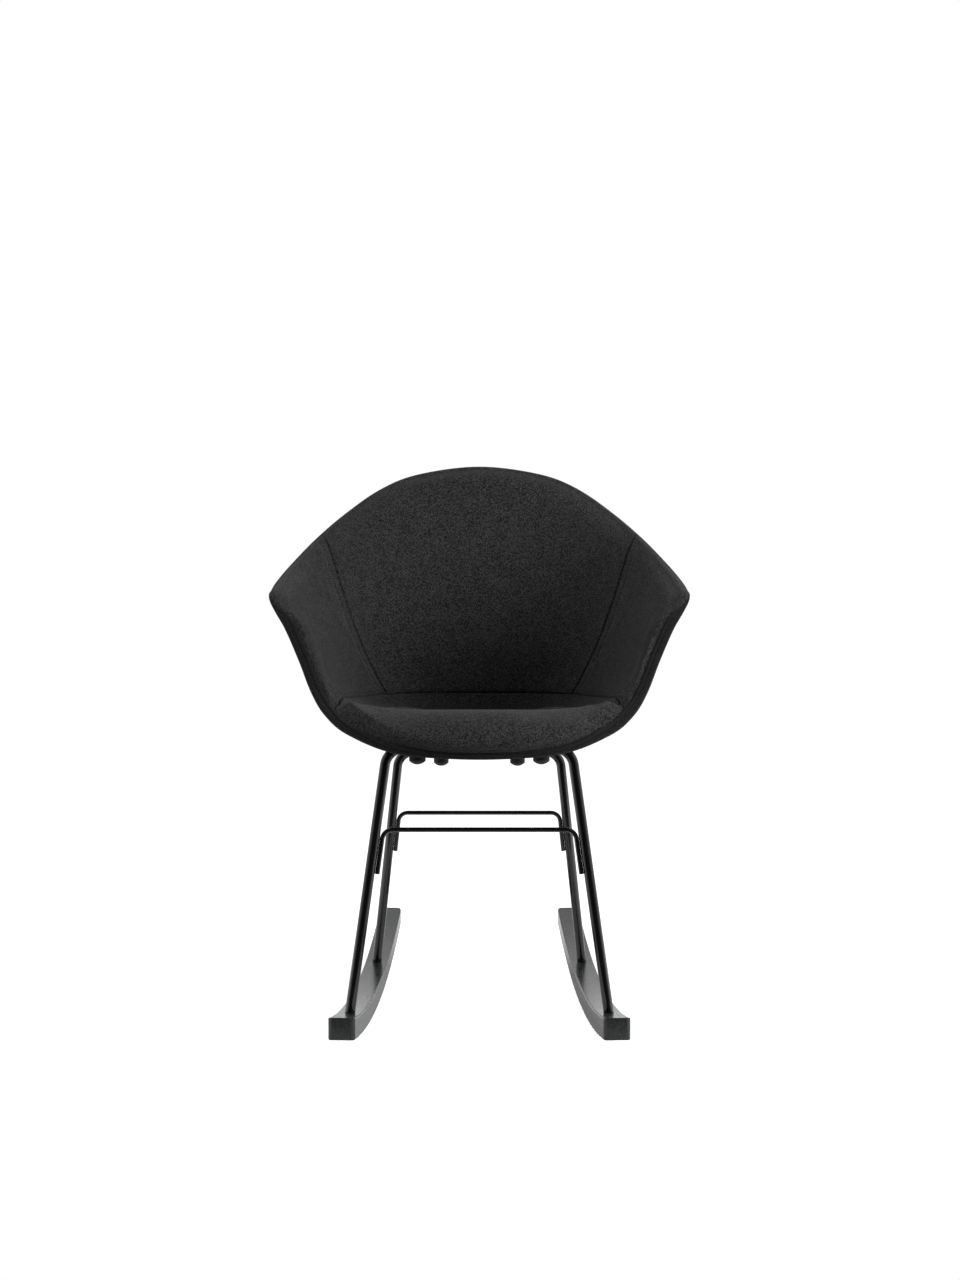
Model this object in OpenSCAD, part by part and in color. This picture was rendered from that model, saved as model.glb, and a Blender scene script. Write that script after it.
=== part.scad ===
// Upholstered rocking chair: a padded tub seat on two bent steel leg frames that stand on
// a pair of curved wooden rockers. Millimetres, +Z up, the chair faces -Y, and left means
// the sitter's left, which is +X. Y is measured from the middle of the chair's length.

/* [Seat tub] */
// Height of the rim at the middle of the back
back_top_h = 806; // [700:1:900]
// Distance from the seat's middle back to the rim at the middle of the back
back_top_reach = 310; // [270:1:350]
// Half of the spread between the arm tips
arm_tip_half = 281.5; // [260:1:320]
// Height of the arm tips
arm_tip_h = 603; // [560:1:660]
// How far the arm tips lie in front of the seat's middle
arm_tip_reach = 59; // [30:1:90]
// How far the front lip's edge lies in front of the seat's middle
lip_reach = 228; // [210:1:260]
// Height of the front lip's lower edge
lip_h = 402; // [398:1:408]
// Half of the seat's width inside the tub, at the middle
seat_half_w = 178; // [165:1:190]
// How much wider the seat grows on each side from its middle to its front
seat_flare = 12; // [0:1:20]
// Distance from the seat's middle to the foot of the back
seat_half_d = 225; // [215:1:230]
// Squareness of the seat's outline, 2 is an ellipse
seat_squareness = 3.4; // [2.4:0.1:5]
// Size of the bend between the seat and its walls
wall_bend = 84; // [50:1:110]
// Size of the bend over the front lip
lip_bend = 34; // [20:1:45]
// How far the walls bow in towards the sitter
wall_bow = 12; // [0:1:25]
// Height of the seam between the seat panel and the back
seat_seam_h = 448; // [440:1:470]
// How much higher that seam runs along the arms
seam_rise = 8; // [0:1:16]

/* [Shell and upholstery] */
// Wall of the moulded shell
shell_t = 6; // [4:0.5:9]
// Thickness of the padded outer cover
cover_t = 2.5; // [1.5:0.5:5]
// Thickness of the seat pad
seat_pad_t = 22; // [14:1:30]
// Thickness of the centre back pad
back_pad_t = 26; // [14:1:34]
// Thickness of the arm pads
arm_pad_t = 19; // [12:1:26]
// Thickness of the pads where they are sewn to each other
seam_pad_t = 9; // [6:0.5:12]
// Thickness of the pads at the rim
rim_pad_t = 5; // [3:0.5:8]
// Height of the edge binding above the rim of the shell
binding_h = 6; // [4:0.5:9]
// Gap between a soft piece and the curved face beside it
soft_gap = 0.8; // [0.7:0.1:0.9]
// Gap between the binding and the rim of the shell
edge_gap = 0.9; // [0.7:0.1:1.5]
// Extra gap under the pads where the shell bends
bend_gap = 0.9; // [0.7:0.1:1.5]
// Gap across a sewn seam
seam_gap = 0.8; // [0.6:0.1:2]

/* [Leg frames] */
// Outer diameter of the leg tube
tube_d = 14; // [12:0.5:18]
// Wall of the leg tube
tube_wall = 1.5; // [1:0.25:2]
// Bend radius of the leg tube, at its middle line
tube_bend = 26; // [20:1:40]
// Distance between the front and the rear cross tube
tube_spacing = 260.4; // [230:0.1:290]
// How far the front cross tube lies in front of the seat's middle
front_tube_reach = 112; // [95:1:125]
// Height of the front cross tube
front_tube_h = 398; // [370:0.5:420]
// How much lower the rear cross tube lies
tube_drop = 31; // [10:0.5:38]
// Half of the front frame's width at its top corners
front_top_half = 124.8; // [115:0.1:140]
// Half of the rear frame's width at its top corners
rear_top_half = 122; // [110:0.1:135]
// How far the front feet stand in front of the front cross tube
front_foot_lean = 12; // [0:0.5:40]
// How far the rear feet stand behind the rear cross tube
rear_foot_lean = 42.5; // [10:0.5:80]

/* [Stretchers] */
// Diameter of the stretcher rods
rod_d = 6.5; // [5:0.5:9]
// Bend radius of the stretcher rods, at their middle line
rod_bend = 14; // [10:1:24]
// Height of the front stretcher
front_rod_h = 287.5; // [200:0.5:330]
// Height of the rear stretcher
rear_rod_h = 271.5; // [200:0.5:310]
// Length of each stretcher end that runs down its leg, below the rod's middle line
rod_leg = 60; // [40:1:100]

/* [Rockers] */
// Radius of the rockers' running edge
rocker_r = 1200; // [900:10:1600]
// Width of the rockers
rocker_w = 35.8; // [30:0.1:45]
// Thickness of the rockers at the front end
rocker_front_t = 28.9; // [24:0.1:36]
// Thickness of the rockers at the rear end
rocker_rear_t = 23.7; // [20:0.1:32]
// Half of the distance between the rockers, at the floor contact
rocker_half_gap = 167.7; // [150:0.1:190]
// Angle at which each rocker turns in towards the rear
rocker_toe = 2.98; // [0:0.01:6]
// Distance from the floor contact to the rockers' front ends
rocker_front_reach = 243; // [200:1:300]
// Distance from the floor contact to the rockers' rear ends
rocker_rear_reach = 354.5; // [280:0.5:420]
// How far the floor contact lies behind the seat's middle
contact_back = 38; // [10:0.5:60]
// Radius of the rockers' upright end corners
rocker_corner = 7; // [3:0.5:12]
// Radius of the rockers' long edges
rocker_edge = 2.5; // [1:0.5:5]
// Depth of the sockets that take the leg tubes
socket_depth = 5; // [4:0.5:8]
// Clearance round a leg tube in its socket, on the diameter
socket_clear = 0.3; // [0.2:0.1:0.8]

/* [Fasteners] */
// Half of the distance between the front shell bolts
front_bolt_half = 84; // [70:0.5:92]
// Half of the distance between the rear shell bolts
rear_bolt_half = 58; // [45:0.5:80]
// Thread diameter of the shell bolts
bolt_d = 6; // [5:1:8]
// Diameter of the bolt caps
cap_d = 22.5; // [18:0.5:26]
// Height of the bolt caps
cap_h = 18; // [14:0.5:22]
// Thickness of the saddles above the cross tubes
saddle_t = 4; // [3:0.5:6]
// Diameter of the saddles and of the shell's bosses
boss_d = 26; // [22:0.5:30]
// Height of the shell's bosses
boss_h = 8; // [6:0.5:12]
// Diameter of the threaded inserts in the bosses
insert_d = 10; // [9:0.5:12]
// Length of the threaded inserts in the bosses
insert_len = 9; // [7:0.5:11]
// Thread diameter of the rocker screws
screw_d = 6; // [5:1:8]
// Head diameter of the rocker screws
screw_head_d = 12; // [10:0.5:14]
// Depth at which the screw heads lie above the running edge
screw_sink = 4; // [3:0.5:6]
// Length of the threaded plugs in the ends of the leg tubes
plug_len = 20; // [14:1:30]
// Running clearance of a bolt or a plug in its hole, on the diameter
hole_clear = 0.4; // [0.2:0.1:0.8]

/* [Hidden] */
$fn = 64;

fabric_colour = [0.20, 0.20, 0.21];
steel_colour = [0.07, 0.07, 0.07];
stain_colour = [0.19, 0.20, 0.19];
zinc_colour = [0.70, 0.70, 0.68];
shell_colour = [0.30, 0.30, 0.30];

// The pieces are worked out with the seat's middle at Y = 0.
contact_y = contact_back;
front_tube_y = -front_tube_reach;
rear_tube_y = front_tube_y + tube_spacing;
rear_tube_h = front_tube_h - tube_drop;

// The seat's plane runs parallel to the line through both cross tubes.
tilt = atan(tube_drop / tube_spacing);
boss_face = tube_d / 2 + saddle_t;
plane_lift = (boss_face + boss_h + shell_t) / cos(tilt);

function plane_z(y) = front_tube_h + plane_lift - (y - front_tube_y) * tan(tilt);
seat_mid = [0, 0, plane_z(0)];

function lerp(a, b, f) = a + (b - a) * f;
function clamp01(v) = max(0, min(1, v));
function unit(v) = v / norm(v);
function flip(p) = [-p.x, p.y, p.z];

// The rim, from the middle of the back round one arm tip to the middle of the lip. Each
// row is a share of the way: across to the arm tip, back from the tip, up from the tip.
back_edge = [[0, 1, 1], [0.35, 0.984, 0.935], [0.56, 0.93, 0.81], [0.74, 0.824, 0.613],
    [0.868, 0.661, 0.421], [0.96, 0.423, 0.227], [0.993, 0.192, 0.106], [1, 0.065, 0.043],
    [1, 0, 0]];
// From the arm tip down to the lip: across, forward from the lip, up from the lip.
front_edge = [[0.957, 0.872, 0.9], [0.907, 0.785, 0.79], [0.835, 0.674, 0.582],
    [0.77, 0.558, 0.378], [0.7, 0.436, 0.24], [0.59, 0.279, 0.135], [0.36, 0.087, 0.03],
    [0, 0, 0]];
rim_points = concat(
    [for (p = back_edge) [arm_tip_half * p[0],
        (back_top_reach + arm_tip_reach) * p[1] - arm_tip_reach,
        arm_tip_h + (back_top_h - arm_tip_h) * p[2]]],
    [for (p = front_edge) [arm_tip_half * p[0],
        (lip_reach - arm_tip_reach) * p[1] - lip_reach,
        lip_h + (arm_tip_h - lip_h) * p[2]]]);
last = len(rim_points) - 1;
turn = 2 * last;

// The place on the rim at u, which runs from 0 at the middle of the back to last at the
// middle of the lip, and on to turn along the other side.
function rim_station(i) =
    let (k = (i + turn) % turn) k <= last ? rim_points[k] : flip(rim_points[turn - k]);
function rim(u) =
    let (i = floor(u), f = u - i,
        a = rim_station(i - 1), b = rim_station(i), c = rim_station(i + 1), d = rim_station(i + 2))
    b + f * ((c - a) / 2 + f * (a - 2.5 * b + 2 * c - d / 2 + f * (1.5 * (b - c) + (d - a) / 2)));

// The corner line where the seat's plane meets the walls, and round the front where it
// meets the lip, which is lip_bend long.
function seat_radius(c, s) =
    let (w = seat_half_w - seat_flare * s, n = seat_squareness)
    1 / pow(pow(abs(c) / w, n) + pow(abs(s) / seat_half_d, n), 1 / n);
function soft_min(a, b, w) = (a + b - sqrt(pow(a - b, 2) + w * w)) / 2;
// The corner line keeps at least this far in from the rim, and turns over this length
// from the seat's outline to the lip.
least_lip = 6;
corner_blend = 8;
function corner(u) =
    let (r = rim(u), reach = norm([r.x, r.y]), d = [r.x, r.y] / reach,
        fall = r.z - plane_z(r.y), lip = sqrt(max(least_lip * least_lip, lip_bend * lip_bend - fall * fall)),
        k = soft_min(seat_radius(d.x, d.y), reach - lip, corner_blend) * d)
    [k.x, k.y, plane_z(k.y)];

// The shell's inner face: s runs from 0 at the seat's middle to 1 at the rim. The line
// goes along the seat, round the bend, and up the wall or down the lip.
bend_start = 0.34;
bend_end = 0.6;
// Free length of a wall, above its bend, over which it bows in by the whole of wall_bow.
bow_length = 130;
// The lip's bend grows into the wall's bend where the rim rises from rise_low below the
// corner line over rise_length.
rise_low = 20;
rise_length = 120;
function bend3(a, k, b, f) = lerp(lerp(a, k, f), lerp(k, b, f), f);
function face(u, s) =
    let (k = corner(u), r = rim(u), rise = clamp01((r.z - k.z + rise_low) / rise_length),
        size = lerp(lip_bend, wall_bend, rise), wall = norm(r - k), run = norm(k - seat_mid),
        bent = min(size, 0.75 * wall), a = k + (seat_mid - k) * min(size, 0.8 * run) / run,
        b = k + (r - k) * bent / wall, bow = wall_bow * rise * min(1, (wall - bent) / bow_length))
    s < bend_start ? lerp(seat_mid, a, s / bend_start) :
    s < bend_end ? bend3(a, k, b, (s - bend_start) / (bend_end - bend_start)) :
    let (f = (s - bend_end) / (1 - bend_end), inward = unit([-k.x, -k.y, 0]))
    lerp(b, r, f) + inward * bow * 6.75 * f * f * (1 - f);

// The direction in which padding is laid on the face: square to the seat's plane in the
// middle, square to the wall or the lip at the rim, and turning evenly between them.
seat_up = [0, sin(tilt), cos(tilt)];
function wall_up(u) =
    unit(cross(face(u + 0.4, 0.85) - face(u - 0.4, 0.85), face(u, 0.98) - face(u, 0.72)));
function ease(f) = let (g = clamp01(f)) g * g * (3 - 2 * g);
function up_at(u, s) = unit(lerp(seat_up, wall_up(u), ease((s - 0.18) / 0.56)));
function lifted(u, s, h) = face(u, s) + up_at(u, s) * h;
function outward(u) = unit(face(u, 1) - face(u, 0.96));

// The seam round the seat, as the place s on the shell's face. It runs level along the
// back, a little higher along the arms, turns out to the rim at the front corners, and
// leaves the lip free.
seam_turn_u = 11;
seam_corner_u = 13;
seam_drift = 0.045;
function fold(u) = let (v = (u + turn) % turn) v <= last ? v : turn - v;
function seam_h(v) = seat_seam_h + seam_rise * ease((v - 3.5) / 4.5);
function level_s(u, lo = 0.4, hi = 1, n = 9) =
    n == 0 ? (lo + hi) / 2 :
    let (mid = (lo + hi) / 2)
    face(u, mid).z > seam_h(u) ? level_s(u, lo, mid, n - 1) : level_s(u, mid, hi, n - 1);
function seam_s(u) =
    let (v = fold(u))
    v <= seam_turn_u ? level_s(v) :
    let (f = clamp01((v - seam_turn_u) / (seam_corner_u - seam_turn_u)))
    lerp(level_s(seam_turn_u) + seam_drift * f, 1, pow(f, 8));

// Places along the rim at which the shell and every pad have a row of points, so that
// neighbours meet: over the back, along an arm to the front corner, and round the lip.
seam_foot_u = 2.72;
seam_end_u = 3.93;
arm_point_u = 12.8;
back_us = [for (i = [0 : 5]) seam_foot_u * i / 6];
arm_us = concat([for (i = [0 : 13]) lerp(seam_foot_u, seam_turn_u, i / 14)],
    [for (i = [0 : 4]) lerp(seam_turn_u, arm_point_u, 1 - pow(1 - i / 4, 1.6))]);
lip_us = [for (i = [0 : 6]) lerp(seam_corner_u, last, i / 7)];
half_us = concat(back_us, arm_us, lip_us);
ring_us = concat(half_us, [last], [for (i = [len(half_us) - 1 : -1 : 1]) turn - half_us[i]]);

// The pads' clearance over the shell's face, which is larger where the face bends.
function under_gap(s) = soft_gap + bend_gap * ease((s - 0.26) / 0.1) * ease((1.1 - s) / 0.35);

// How far a seam is set back on each side, as a share of a face line, which is about
// face_length long, and in places along the rim, which are about place_length apart.
face_length = 300;
place_length = 75;
seam_back_s = seam_gap / 2 / face_length;
seam_back_u = seam_gap / 2 / place_length;
// The seat pad's thickness at u, at the share f of the way out to its edge. Its front
// corners are drawn in.
corner_draw = 0.6;
function seat_lift(u, f) =
    let (edge = lerp(seam_pad_t, rim_pad_t, clamp01((seam_s(u) - 0.6) / 0.4)),
        off = (fold(u) - 12) / 1.7, drawn = corner_draw * exp(-off * off) * ease((f - 0.4) / 0.6))
    lerp(edge, seat_pad_t * (1 - drawn), 1 - pow(f, 5));

// The chair stands with the middle of its length, from the padded lip to the rockers'
// rear ends, at Y = 0.
front_reach = -min([for (f = [0.5 : 0.01 : 1]) lifted(last, f, soft_gap + seat_lift(last, f)).y]);
rear_reach = contact_back + (rocker_rear_reach - rocker_corner) * cos(rocker_toe)
    + (rocker_w / 2 - rocker_corner) * sin(rocker_toe) + rocker_corner;
module placed() {
    translate([0, (front_reach - rear_reach) / 2, 0])
        children();
}

// The two triangles of a quad, cut along its shorter diagonal.
function quad(p, a, b, e, g) =
    norm(p[a] - p[g]) < norm(p[b] - p[e]) ? [[a, g, b], [a, e, g]] : [[a, e, b], [b, e, g]];

// A closed skin between two faces of a grid. Rows run along the first index.
function grid_faces(p, rows, cols, lap) =
    let (n = rows * cols, span = lap ? cols : cols - 1)
    concat(
        [for (r = [0 : rows - 2], c = [0 : span - 1])
            let (d = (c + 1) % cols, i = r * cols, j = i + cols)
            each concat(quad(p, i + c, i + d, j + c, j + d),
                quad(p, n + i + c, n + j + c, n + i + d, n + j + d))],
        [for (c = [0 : span - 1]) let (d = (c + 1) % cols, t = (rows - 1) * cols)
            each [[t + c, n + t + d, t + d], [t + c, n + t + c, n + t + d]]]);
function first_row(rows, cols) =
    let (n = rows * cols)
    [for (c = [0 : cols - 2]) each [[c, n + c + 1, n + c], [c, c + 1, n + c + 1]]];
function side_cols(rows, cols) =
    let (n = rows * cols, e = cols - 1)
    [for (r = [0 : rows - 2]) each [
        [r * cols, n + (r + 1) * cols, (r + 1) * cols],
        [r * cols, n + r * cols, n + (r + 1) * cols],
        [r * cols + e, (r + 1) * cols + e, n + (r + 1) * cols + e],
        [r * cols + e, n + (r + 1) * cols + e, n + r * cols + e]]];

// A bowl from the seat's middle out to a rim: top and under are its two faces as lists of
// rings, and tip_top and tip_under close them in the middle.
module bowl(top, under, tip_top, tip_under) {
    rows = len(top);
    cols = len(top[0]);
    n = rows * cols;
    points = concat([for (r = top) each r], [for (r = under) each r], [tip_top, tip_under]);
    fans = [for (c = [0 : cols - 1]) let (d = (c + 1) % cols)
        each [[c, d, 2 * n], [n + c, 2 * n + 1, n + d]]];
    polyhedron(points, concat(grid_faces(points, rows, cols, true), fans));
}

// A panel with four sides, from its two faces as lists of rows.
module panel(top, under) {
    rows = len(top);
    cols = len(top[0]);
    points = concat([for (r = top) each r], [for (r = under) each r]);
    polyhedron(points, concat(grid_faces(points, rows, cols, false), first_row(rows, cols),
        side_cols(rows, cols)));
}

// Swelling across a pad: 0 at its edges and 1 over its middle.
function swell(f) = 1 - pow(abs(2 * f - 1), 4);

// The four bolts through the cross tubes: across, back and up.
bolt_places = [for (side = [-1, 1]) each [
    [side * front_bolt_half, front_tube_y, front_tube_h],
    [side * rear_bolt_half, rear_tube_y, rear_tube_h]]];
module at_bolts() {
    for (p = bolt_places)
        translate(p)
            rotate([-tilt, 0, 0])
                children();
}

// Moulded shell, with a boss for each bolt on its underside.
shell_rows = concat([for (i = [0 : 7]) lerp(bend_start, bend_end, i / 7)],
    [for (i = [1 : 5]) lerp(bend_end, 1, i / 5)]);
module shell_skin(inner, outer) {
    top = [for (s = shell_rows) [for (u = ring_us) lifted(u, s, -inner)]];
    under = [for (s = shell_rows) [for (u = ring_us) lifted(u, s, -outer)]];
    bowl(top, under, seat_mid - [0, 0, inner / cos(tilt)], seat_mid - [0, 0, outer / cos(tilt)]);
}
module seat_shell() {
    color(shell_colour) placed()
        difference() {
            union() {
                shell_skin(0, shell_t);
                at_bolts()
                    translate([0, 0, boss_face])
                        cylinder(d = boss_d, h = boss_h + shell_t / 2);
            }
            at_bolts()
                translate([0, 0, boss_face - 1])
                    cylinder(d = insert_d, h = insert_len + 1);
        }
}

// Outer cover of padded fabric, close round the bosses.
module outer_cover() {
    color(fabric_colour) placed()
        difference() {
            shell_skin(shell_t + soft_gap, shell_t + soft_gap + cover_t);
            at_bolts()
                translate([0, 0, boss_face])
                    cylinder(d = boss_d + 1, h = boss_h + shell_t);
        }
}

// Seat pad, sewn to the walls along the seam and drawn over the lip.
seat_rows = 8;
function seat_edge(u) = seam_s(u) - (fold(u) < seam_corner_u ? seam_back_s : 0);
module seat_pad() {
    top = [for (r = [0 : seat_rows])
        let (f = 1 - pow(1 - (r + 1) / (seat_rows + 1), 1.3))
        [for (u = ring_us) lifted(u, seat_edge(u) * f, soft_gap + seat_lift(u, f))]];
    under = [for (r = [0 : seat_rows]) [for (u = ring_us)
        let (s = lerp(bend_start, seat_edge(u), r / seat_rows))
        lifted(u, s, under_gap(s))]];
    color(fabric_colour) placed()
        bowl(top, under, seat_mid + [0, 0, (seat_pad_t + soft_gap) / cos(tilt)],
            seat_mid + [0, 0, soft_gap / cos(tilt)]);
}

// A wall pad between the seat's seam and the rim. Each column runs from its place on the
// seam, in low, to its place on the rim, in high, and bow carries it along on the way.
wall_rows = 12;
seam_bow = 0.62;
module wall_pad(low, high, bow, pad_t) {
    cols = len(low) - 1;
    function place(c, f) = [lerp(low[c], high[c], f) + bow[c] * 4 * f * (1 - f),
        lerp(seam_s(low[c]) + seam_back_s, 1, f)];
    function lift(c, f) =
        lerp(lerp(seam_pad_t, rim_pad_t, f * f), pad_t, swell(c / cols) * swell(f));
    top = [for (r = [0 : wall_rows]) [for (c = [0 : cols]) let (p = place(c, r / wall_rows))
        lifted(p[0], p[1], soft_gap + lift(c, r / wall_rows))]];
    under = [for (r = [0 : wall_rows]) [for (c = [0 : cols]) let (p = place(c, r / wall_rows))
        lifted(p[0], p[1], under_gap(p[1]))]];
    panel(top, under);
}
module centre_back_pad() {
    half = concat([for (u = back_us) u], [seam_foot_u]);
    n = len(half) - 1;
    low = concat([for (i = [n : -1 : 1]) -half[i]], half);
    share = [for (u = low) u / seam_foot_u];
    color(fabric_colour) placed()
        wall_pad([for (f = share) f * (seam_foot_u - seam_back_u)],
            [for (f = share) f * (seam_end_u - seam_back_u)], [for (f = share) f * seam_bow],
            back_pad_t);
}
module arm_pad_left() {
    share = [for (u = arm_us) (u - seam_foot_u) / (arm_point_u - seam_foot_u)];
    color(fabric_colour) placed()
        wall_pad([for (f = share) lerp(seam_foot_u + seam_back_u, arm_point_u, f)],
            [for (f = share) lerp(seam_end_u + seam_back_u, arm_point_u, f)],
            [for (f = share) (1 - f) * seam_bow], arm_pad_t);
}
module arm_pad_right() {
    mirror([1, 0, 0])
        arm_pad_left();
}

// Binding sewn round the rim, over the edges of the pads, the shell and the cover.
binding_sides = 8;
module edge_binding() {
    inside = soft_gap + rim_pad_t;
    outside = shell_t + soft_gap + cover_t;
    half = (inside + outside) / 2;
    places = concat(ring_us, [turn]);
    us = [for (i = [0 : len(ring_us) - 1]) each [places[i], (places[i] + places[i + 1]) / 2]];
    rings = [for (u = us)
        let (out = outward(u), n = up_at(u, 1), mid = rim(u) + n * (inside - half) + out * edge_gap)
        [for (k = [0 : binding_sides]) let (a = 180 * k / binding_sides)
            mid + n * half * cos(a) + out * binding_h * sin(a)]];
    cols = binding_sides + 1;
    points = [for (r = rings) each r];
    faces = [for (c = [0 : len(us) - 1], k = [0 : cols - 1])
        let (i = c * cols, j = (c + 1) % len(us) * cols, m = (k + 1) % cols)
        each quad(points, i + k, j + k, i + m, j + m)];
    color(fabric_colour) placed()
        polyhedron(points, faces);
}

// A round bar along a path in the XZ plane, with its corners bent to a radius. The bar
// draws in a little where it is bent, and the straights reach over the bends' ends.
bend_draw = 0.06;
bend_lap = 0.5;
module bent_bar(path, radius, d) {
    turns = [for (i = [1 : len(path) - 2])
        let (a = unit(path[i - 1] - path[i]), b = unit(path[i + 1] - path[i]))
        acos(a * b)];
    cut = [for (i = [0 : len(path) - 1])
        i == 0 || i == len(path) - 1 ? 0 : radius / tan(turns[i - 1] / 2)];
    for (i = [0 : len(path) - 2]) {
        way = unit(path[i + 1] - path[i]);
        lap = [cut[i] > 0 ? bend_lap : 0, cut[i + 1] > 0 ? bend_lap : 0];
        from = path[i] + way * (cut[i] - lap[0]);
        length = norm(path[i + 1] - path[i]) - cut[i] - cut[i + 1] + lap[0] + lap[1];
        translate([from.x, 0, from.y])
            rotate([0, atan2(way.x, way.y), 0])
                cylinder(d = d, h = length);
    }
    for (i = [1 : len(path) - 2]) {
        a = unit(path[i - 1] - path[i]);
        b = unit(path[i + 1] - path[i]);
        centre = path[i] + unit(a + b) * radius / sin(turns[i - 1] / 2);
        start = path[i] + a * cut[i] - centre;
        sweep = 180 - turns[i - 1];
        sense = a.x * b.y - a.y * b.x > 0 ? -1 : 1;
        first = atan2(start.y, start.x);
        translate([centre.x, 0, centre.y])
            rotate([90, 0, 0])
                rotate([0, 0, sense > 0 ? first : first - sweep])
                    rotate_extrude(angle = sweep)
                        translate([radius, 0])
                            circle(d = d - bend_draw);
    }
}

// Rockers: the running edge and the top edge are two arcs with offset centres, which
// gives the taper. Positions along a rocker are measured from its floor contact.
front_angle = asin(rocker_front_reach / rocker_r);
rear_angle = asin(rocker_rear_reach / rocker_r);
taper_shift = (rocker_front_t - rocker_rear_t) / (sin(rear_angle) + sin(front_angle));
rocker_mid_t = rocker_front_t - taper_shift * sin(front_angle);
top_r = rocker_r - rocker_mid_t;
function rocker_x(y) = rocker_half_gap - (y - contact_y) * tan(rocker_toe);
function rocker_top(y) =
    rocker_r - sqrt(pow(top_r, 2) - pow((y - contact_y) / cos(rocker_toe) - taper_shift, 2));

front_foot_y = front_tube_y - front_foot_lean;
rear_foot_y = rear_tube_y + rear_foot_lean;
front_foot = [rocker_x(front_foot_y), front_foot_y, rocker_top(front_foot_y) - socket_depth];
rear_foot = [rocker_x(rear_foot_y), rear_foot_y, rocker_top(rear_foot_y) - socket_depth];

// A leg frame lies in one plane: [cross tube's Y and height, top corner, foot].
front_frame = [front_tube_y, front_tube_h, front_top_half, front_foot];
rear_frame = [rear_tube_y, rear_tube_h, rear_top_half, rear_foot];
function frame_drop(fr) = norm([fr[3].y - fr[0], fr[1] - fr[3].z]);
function frame_lean(fr) = atan2(fr[3].y - fr[0], fr[1] - fr[3].z);
function frame_splay(fr) = atan((fr[3].x - fr[2]) / frame_drop(fr));
module in_frame(fr) {
    translate([0, fr[0], fr[1]])
        rotate([frame_lean(fr), 0, 0])
            children();
}
module at_feet(fr) {
    for (side = [0, 1])
        mirror([side, 0, 0])
            in_frame(fr)
                translate([fr[3].x, 0, -frame_drop(fr)])
                    rotate([0, -frame_splay(fr), 0])
                        children();
}
function frame_path(fr) = [[-fr[3].x, -frame_drop(fr)], [-fr[2], 0], [fr[2], 0],
    [fr[3].x, -frame_drop(fr)]];

module leg_frame(fr, bolt_half) {
    color(steel_colour) placed()
        difference() {
            in_frame(fr)
                bent_bar(frame_path(fr), tube_bend, tube_d);
            in_frame(fr)
                bent_bar(frame_path(fr), tube_bend, tube_d - 2 * tube_wall);
            for (side = [-1, 1])
                translate([side * bolt_half, fr[0], fr[1]])
                    rotate([-tilt, 0, 0])
                        cylinder(d = bolt_d + hole_clear, h = 2 * tube_d, center = true);
        }
}
module front_leg_frame() {
    leg_frame(front_frame, front_bolt_half);
}
module rear_leg_frame() {
    leg_frame(rear_frame, rear_bolt_half);
}

// A stretcher rod, with its ends bent down and welded along the inner side of the legs.
module stretcher(fr, rod_h) {
    splay = frame_splay(fr);
    depth = (fr[1] - rod_h) / cos(frame_lean(fr));
    inset = ((tube_d + rod_d) / 2 + 0.05) / cos(splay);
    across = fr[2] + depth * tan(splay) - inset;
    low = across + rod_leg * tan(splay);
    color(steel_colour) placed()
        in_frame(fr)
            bent_bar([[-low, -depth - rod_leg], [-across, -depth], [across, -depth],
                [low, -depth - rod_leg]], rod_bend, rod_d);
}
module front_stretcher() {
    stretcher(front_frame, front_rod_h);
}
module rear_stretcher() {
    stretcher(rear_frame, rear_rod_h);
}

// Section of a rocker beyond one of its arcs: rounded where it meets the arc.
rocker_depth = 45;
outline_h = 120;
module edge_section(arc_r, way) {
    half = rocker_w / 2;
    e = rocker_edge;
    translate([arc_r, 0])
        mirror([way > 0 ? 0 : 1, 0]) {
            translate([e, -half])
                square([rocker_depth - e, rocker_w]);
            translate([0, -half + e])
                square([2 * e, rocker_w - 2 * e]);
            for (y = [-half + e, half - e])
                translate([e, y])
                    circle(r = e);
        }
}
module arc_bar(arc_r, shift, way) {
    translate([0, shift, rocker_r])
        rotate([0, 90, 0])
            rotate([0, 0, -front_angle - 3])
                rotate_extrude(angle = front_angle + rear_angle + 6, $fn = 720)
                    edge_section(arc_r, way);
}
module rocker_outline() {
    length = rocker_front_reach + rocker_rear_reach;
    c = rocker_corner;
    translate([-rocker_w / 2, -rocker_front_reach]) {
        translate([c, 0])
            square([rocker_w - 2 * c, length]);
        translate([0, c])
            square([rocker_w, length - 2 * c]);
        for (x = [c, rocker_w - c], y = [c, length - c])
            translate([x, y])
                circle(r = c);
    }
}
module rocker_left() {
    color(stain_colour) placed()
        difference() {
            translate([rocker_half_gap, contact_y, 0])
                rotate([0, 0, rocker_toe])
                    intersection() {
                        arc_bar(rocker_r, 0, -1);
                        arc_bar(top_r, taper_shift, 1);
                        translate([0, 0, -1])
                            linear_extrude(outline_h)
                                rocker_outline();
                    }
            for (fr = [front_frame, rear_frame])
                at_feet(fr) {
                    cylinder(d = tube_d + socket_clear, h = 30);
                    screw_hole(fr);
                }
        }
}
module rocker_right() {
    mirror([1, 0, 0])
        rocker_left();
}

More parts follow.
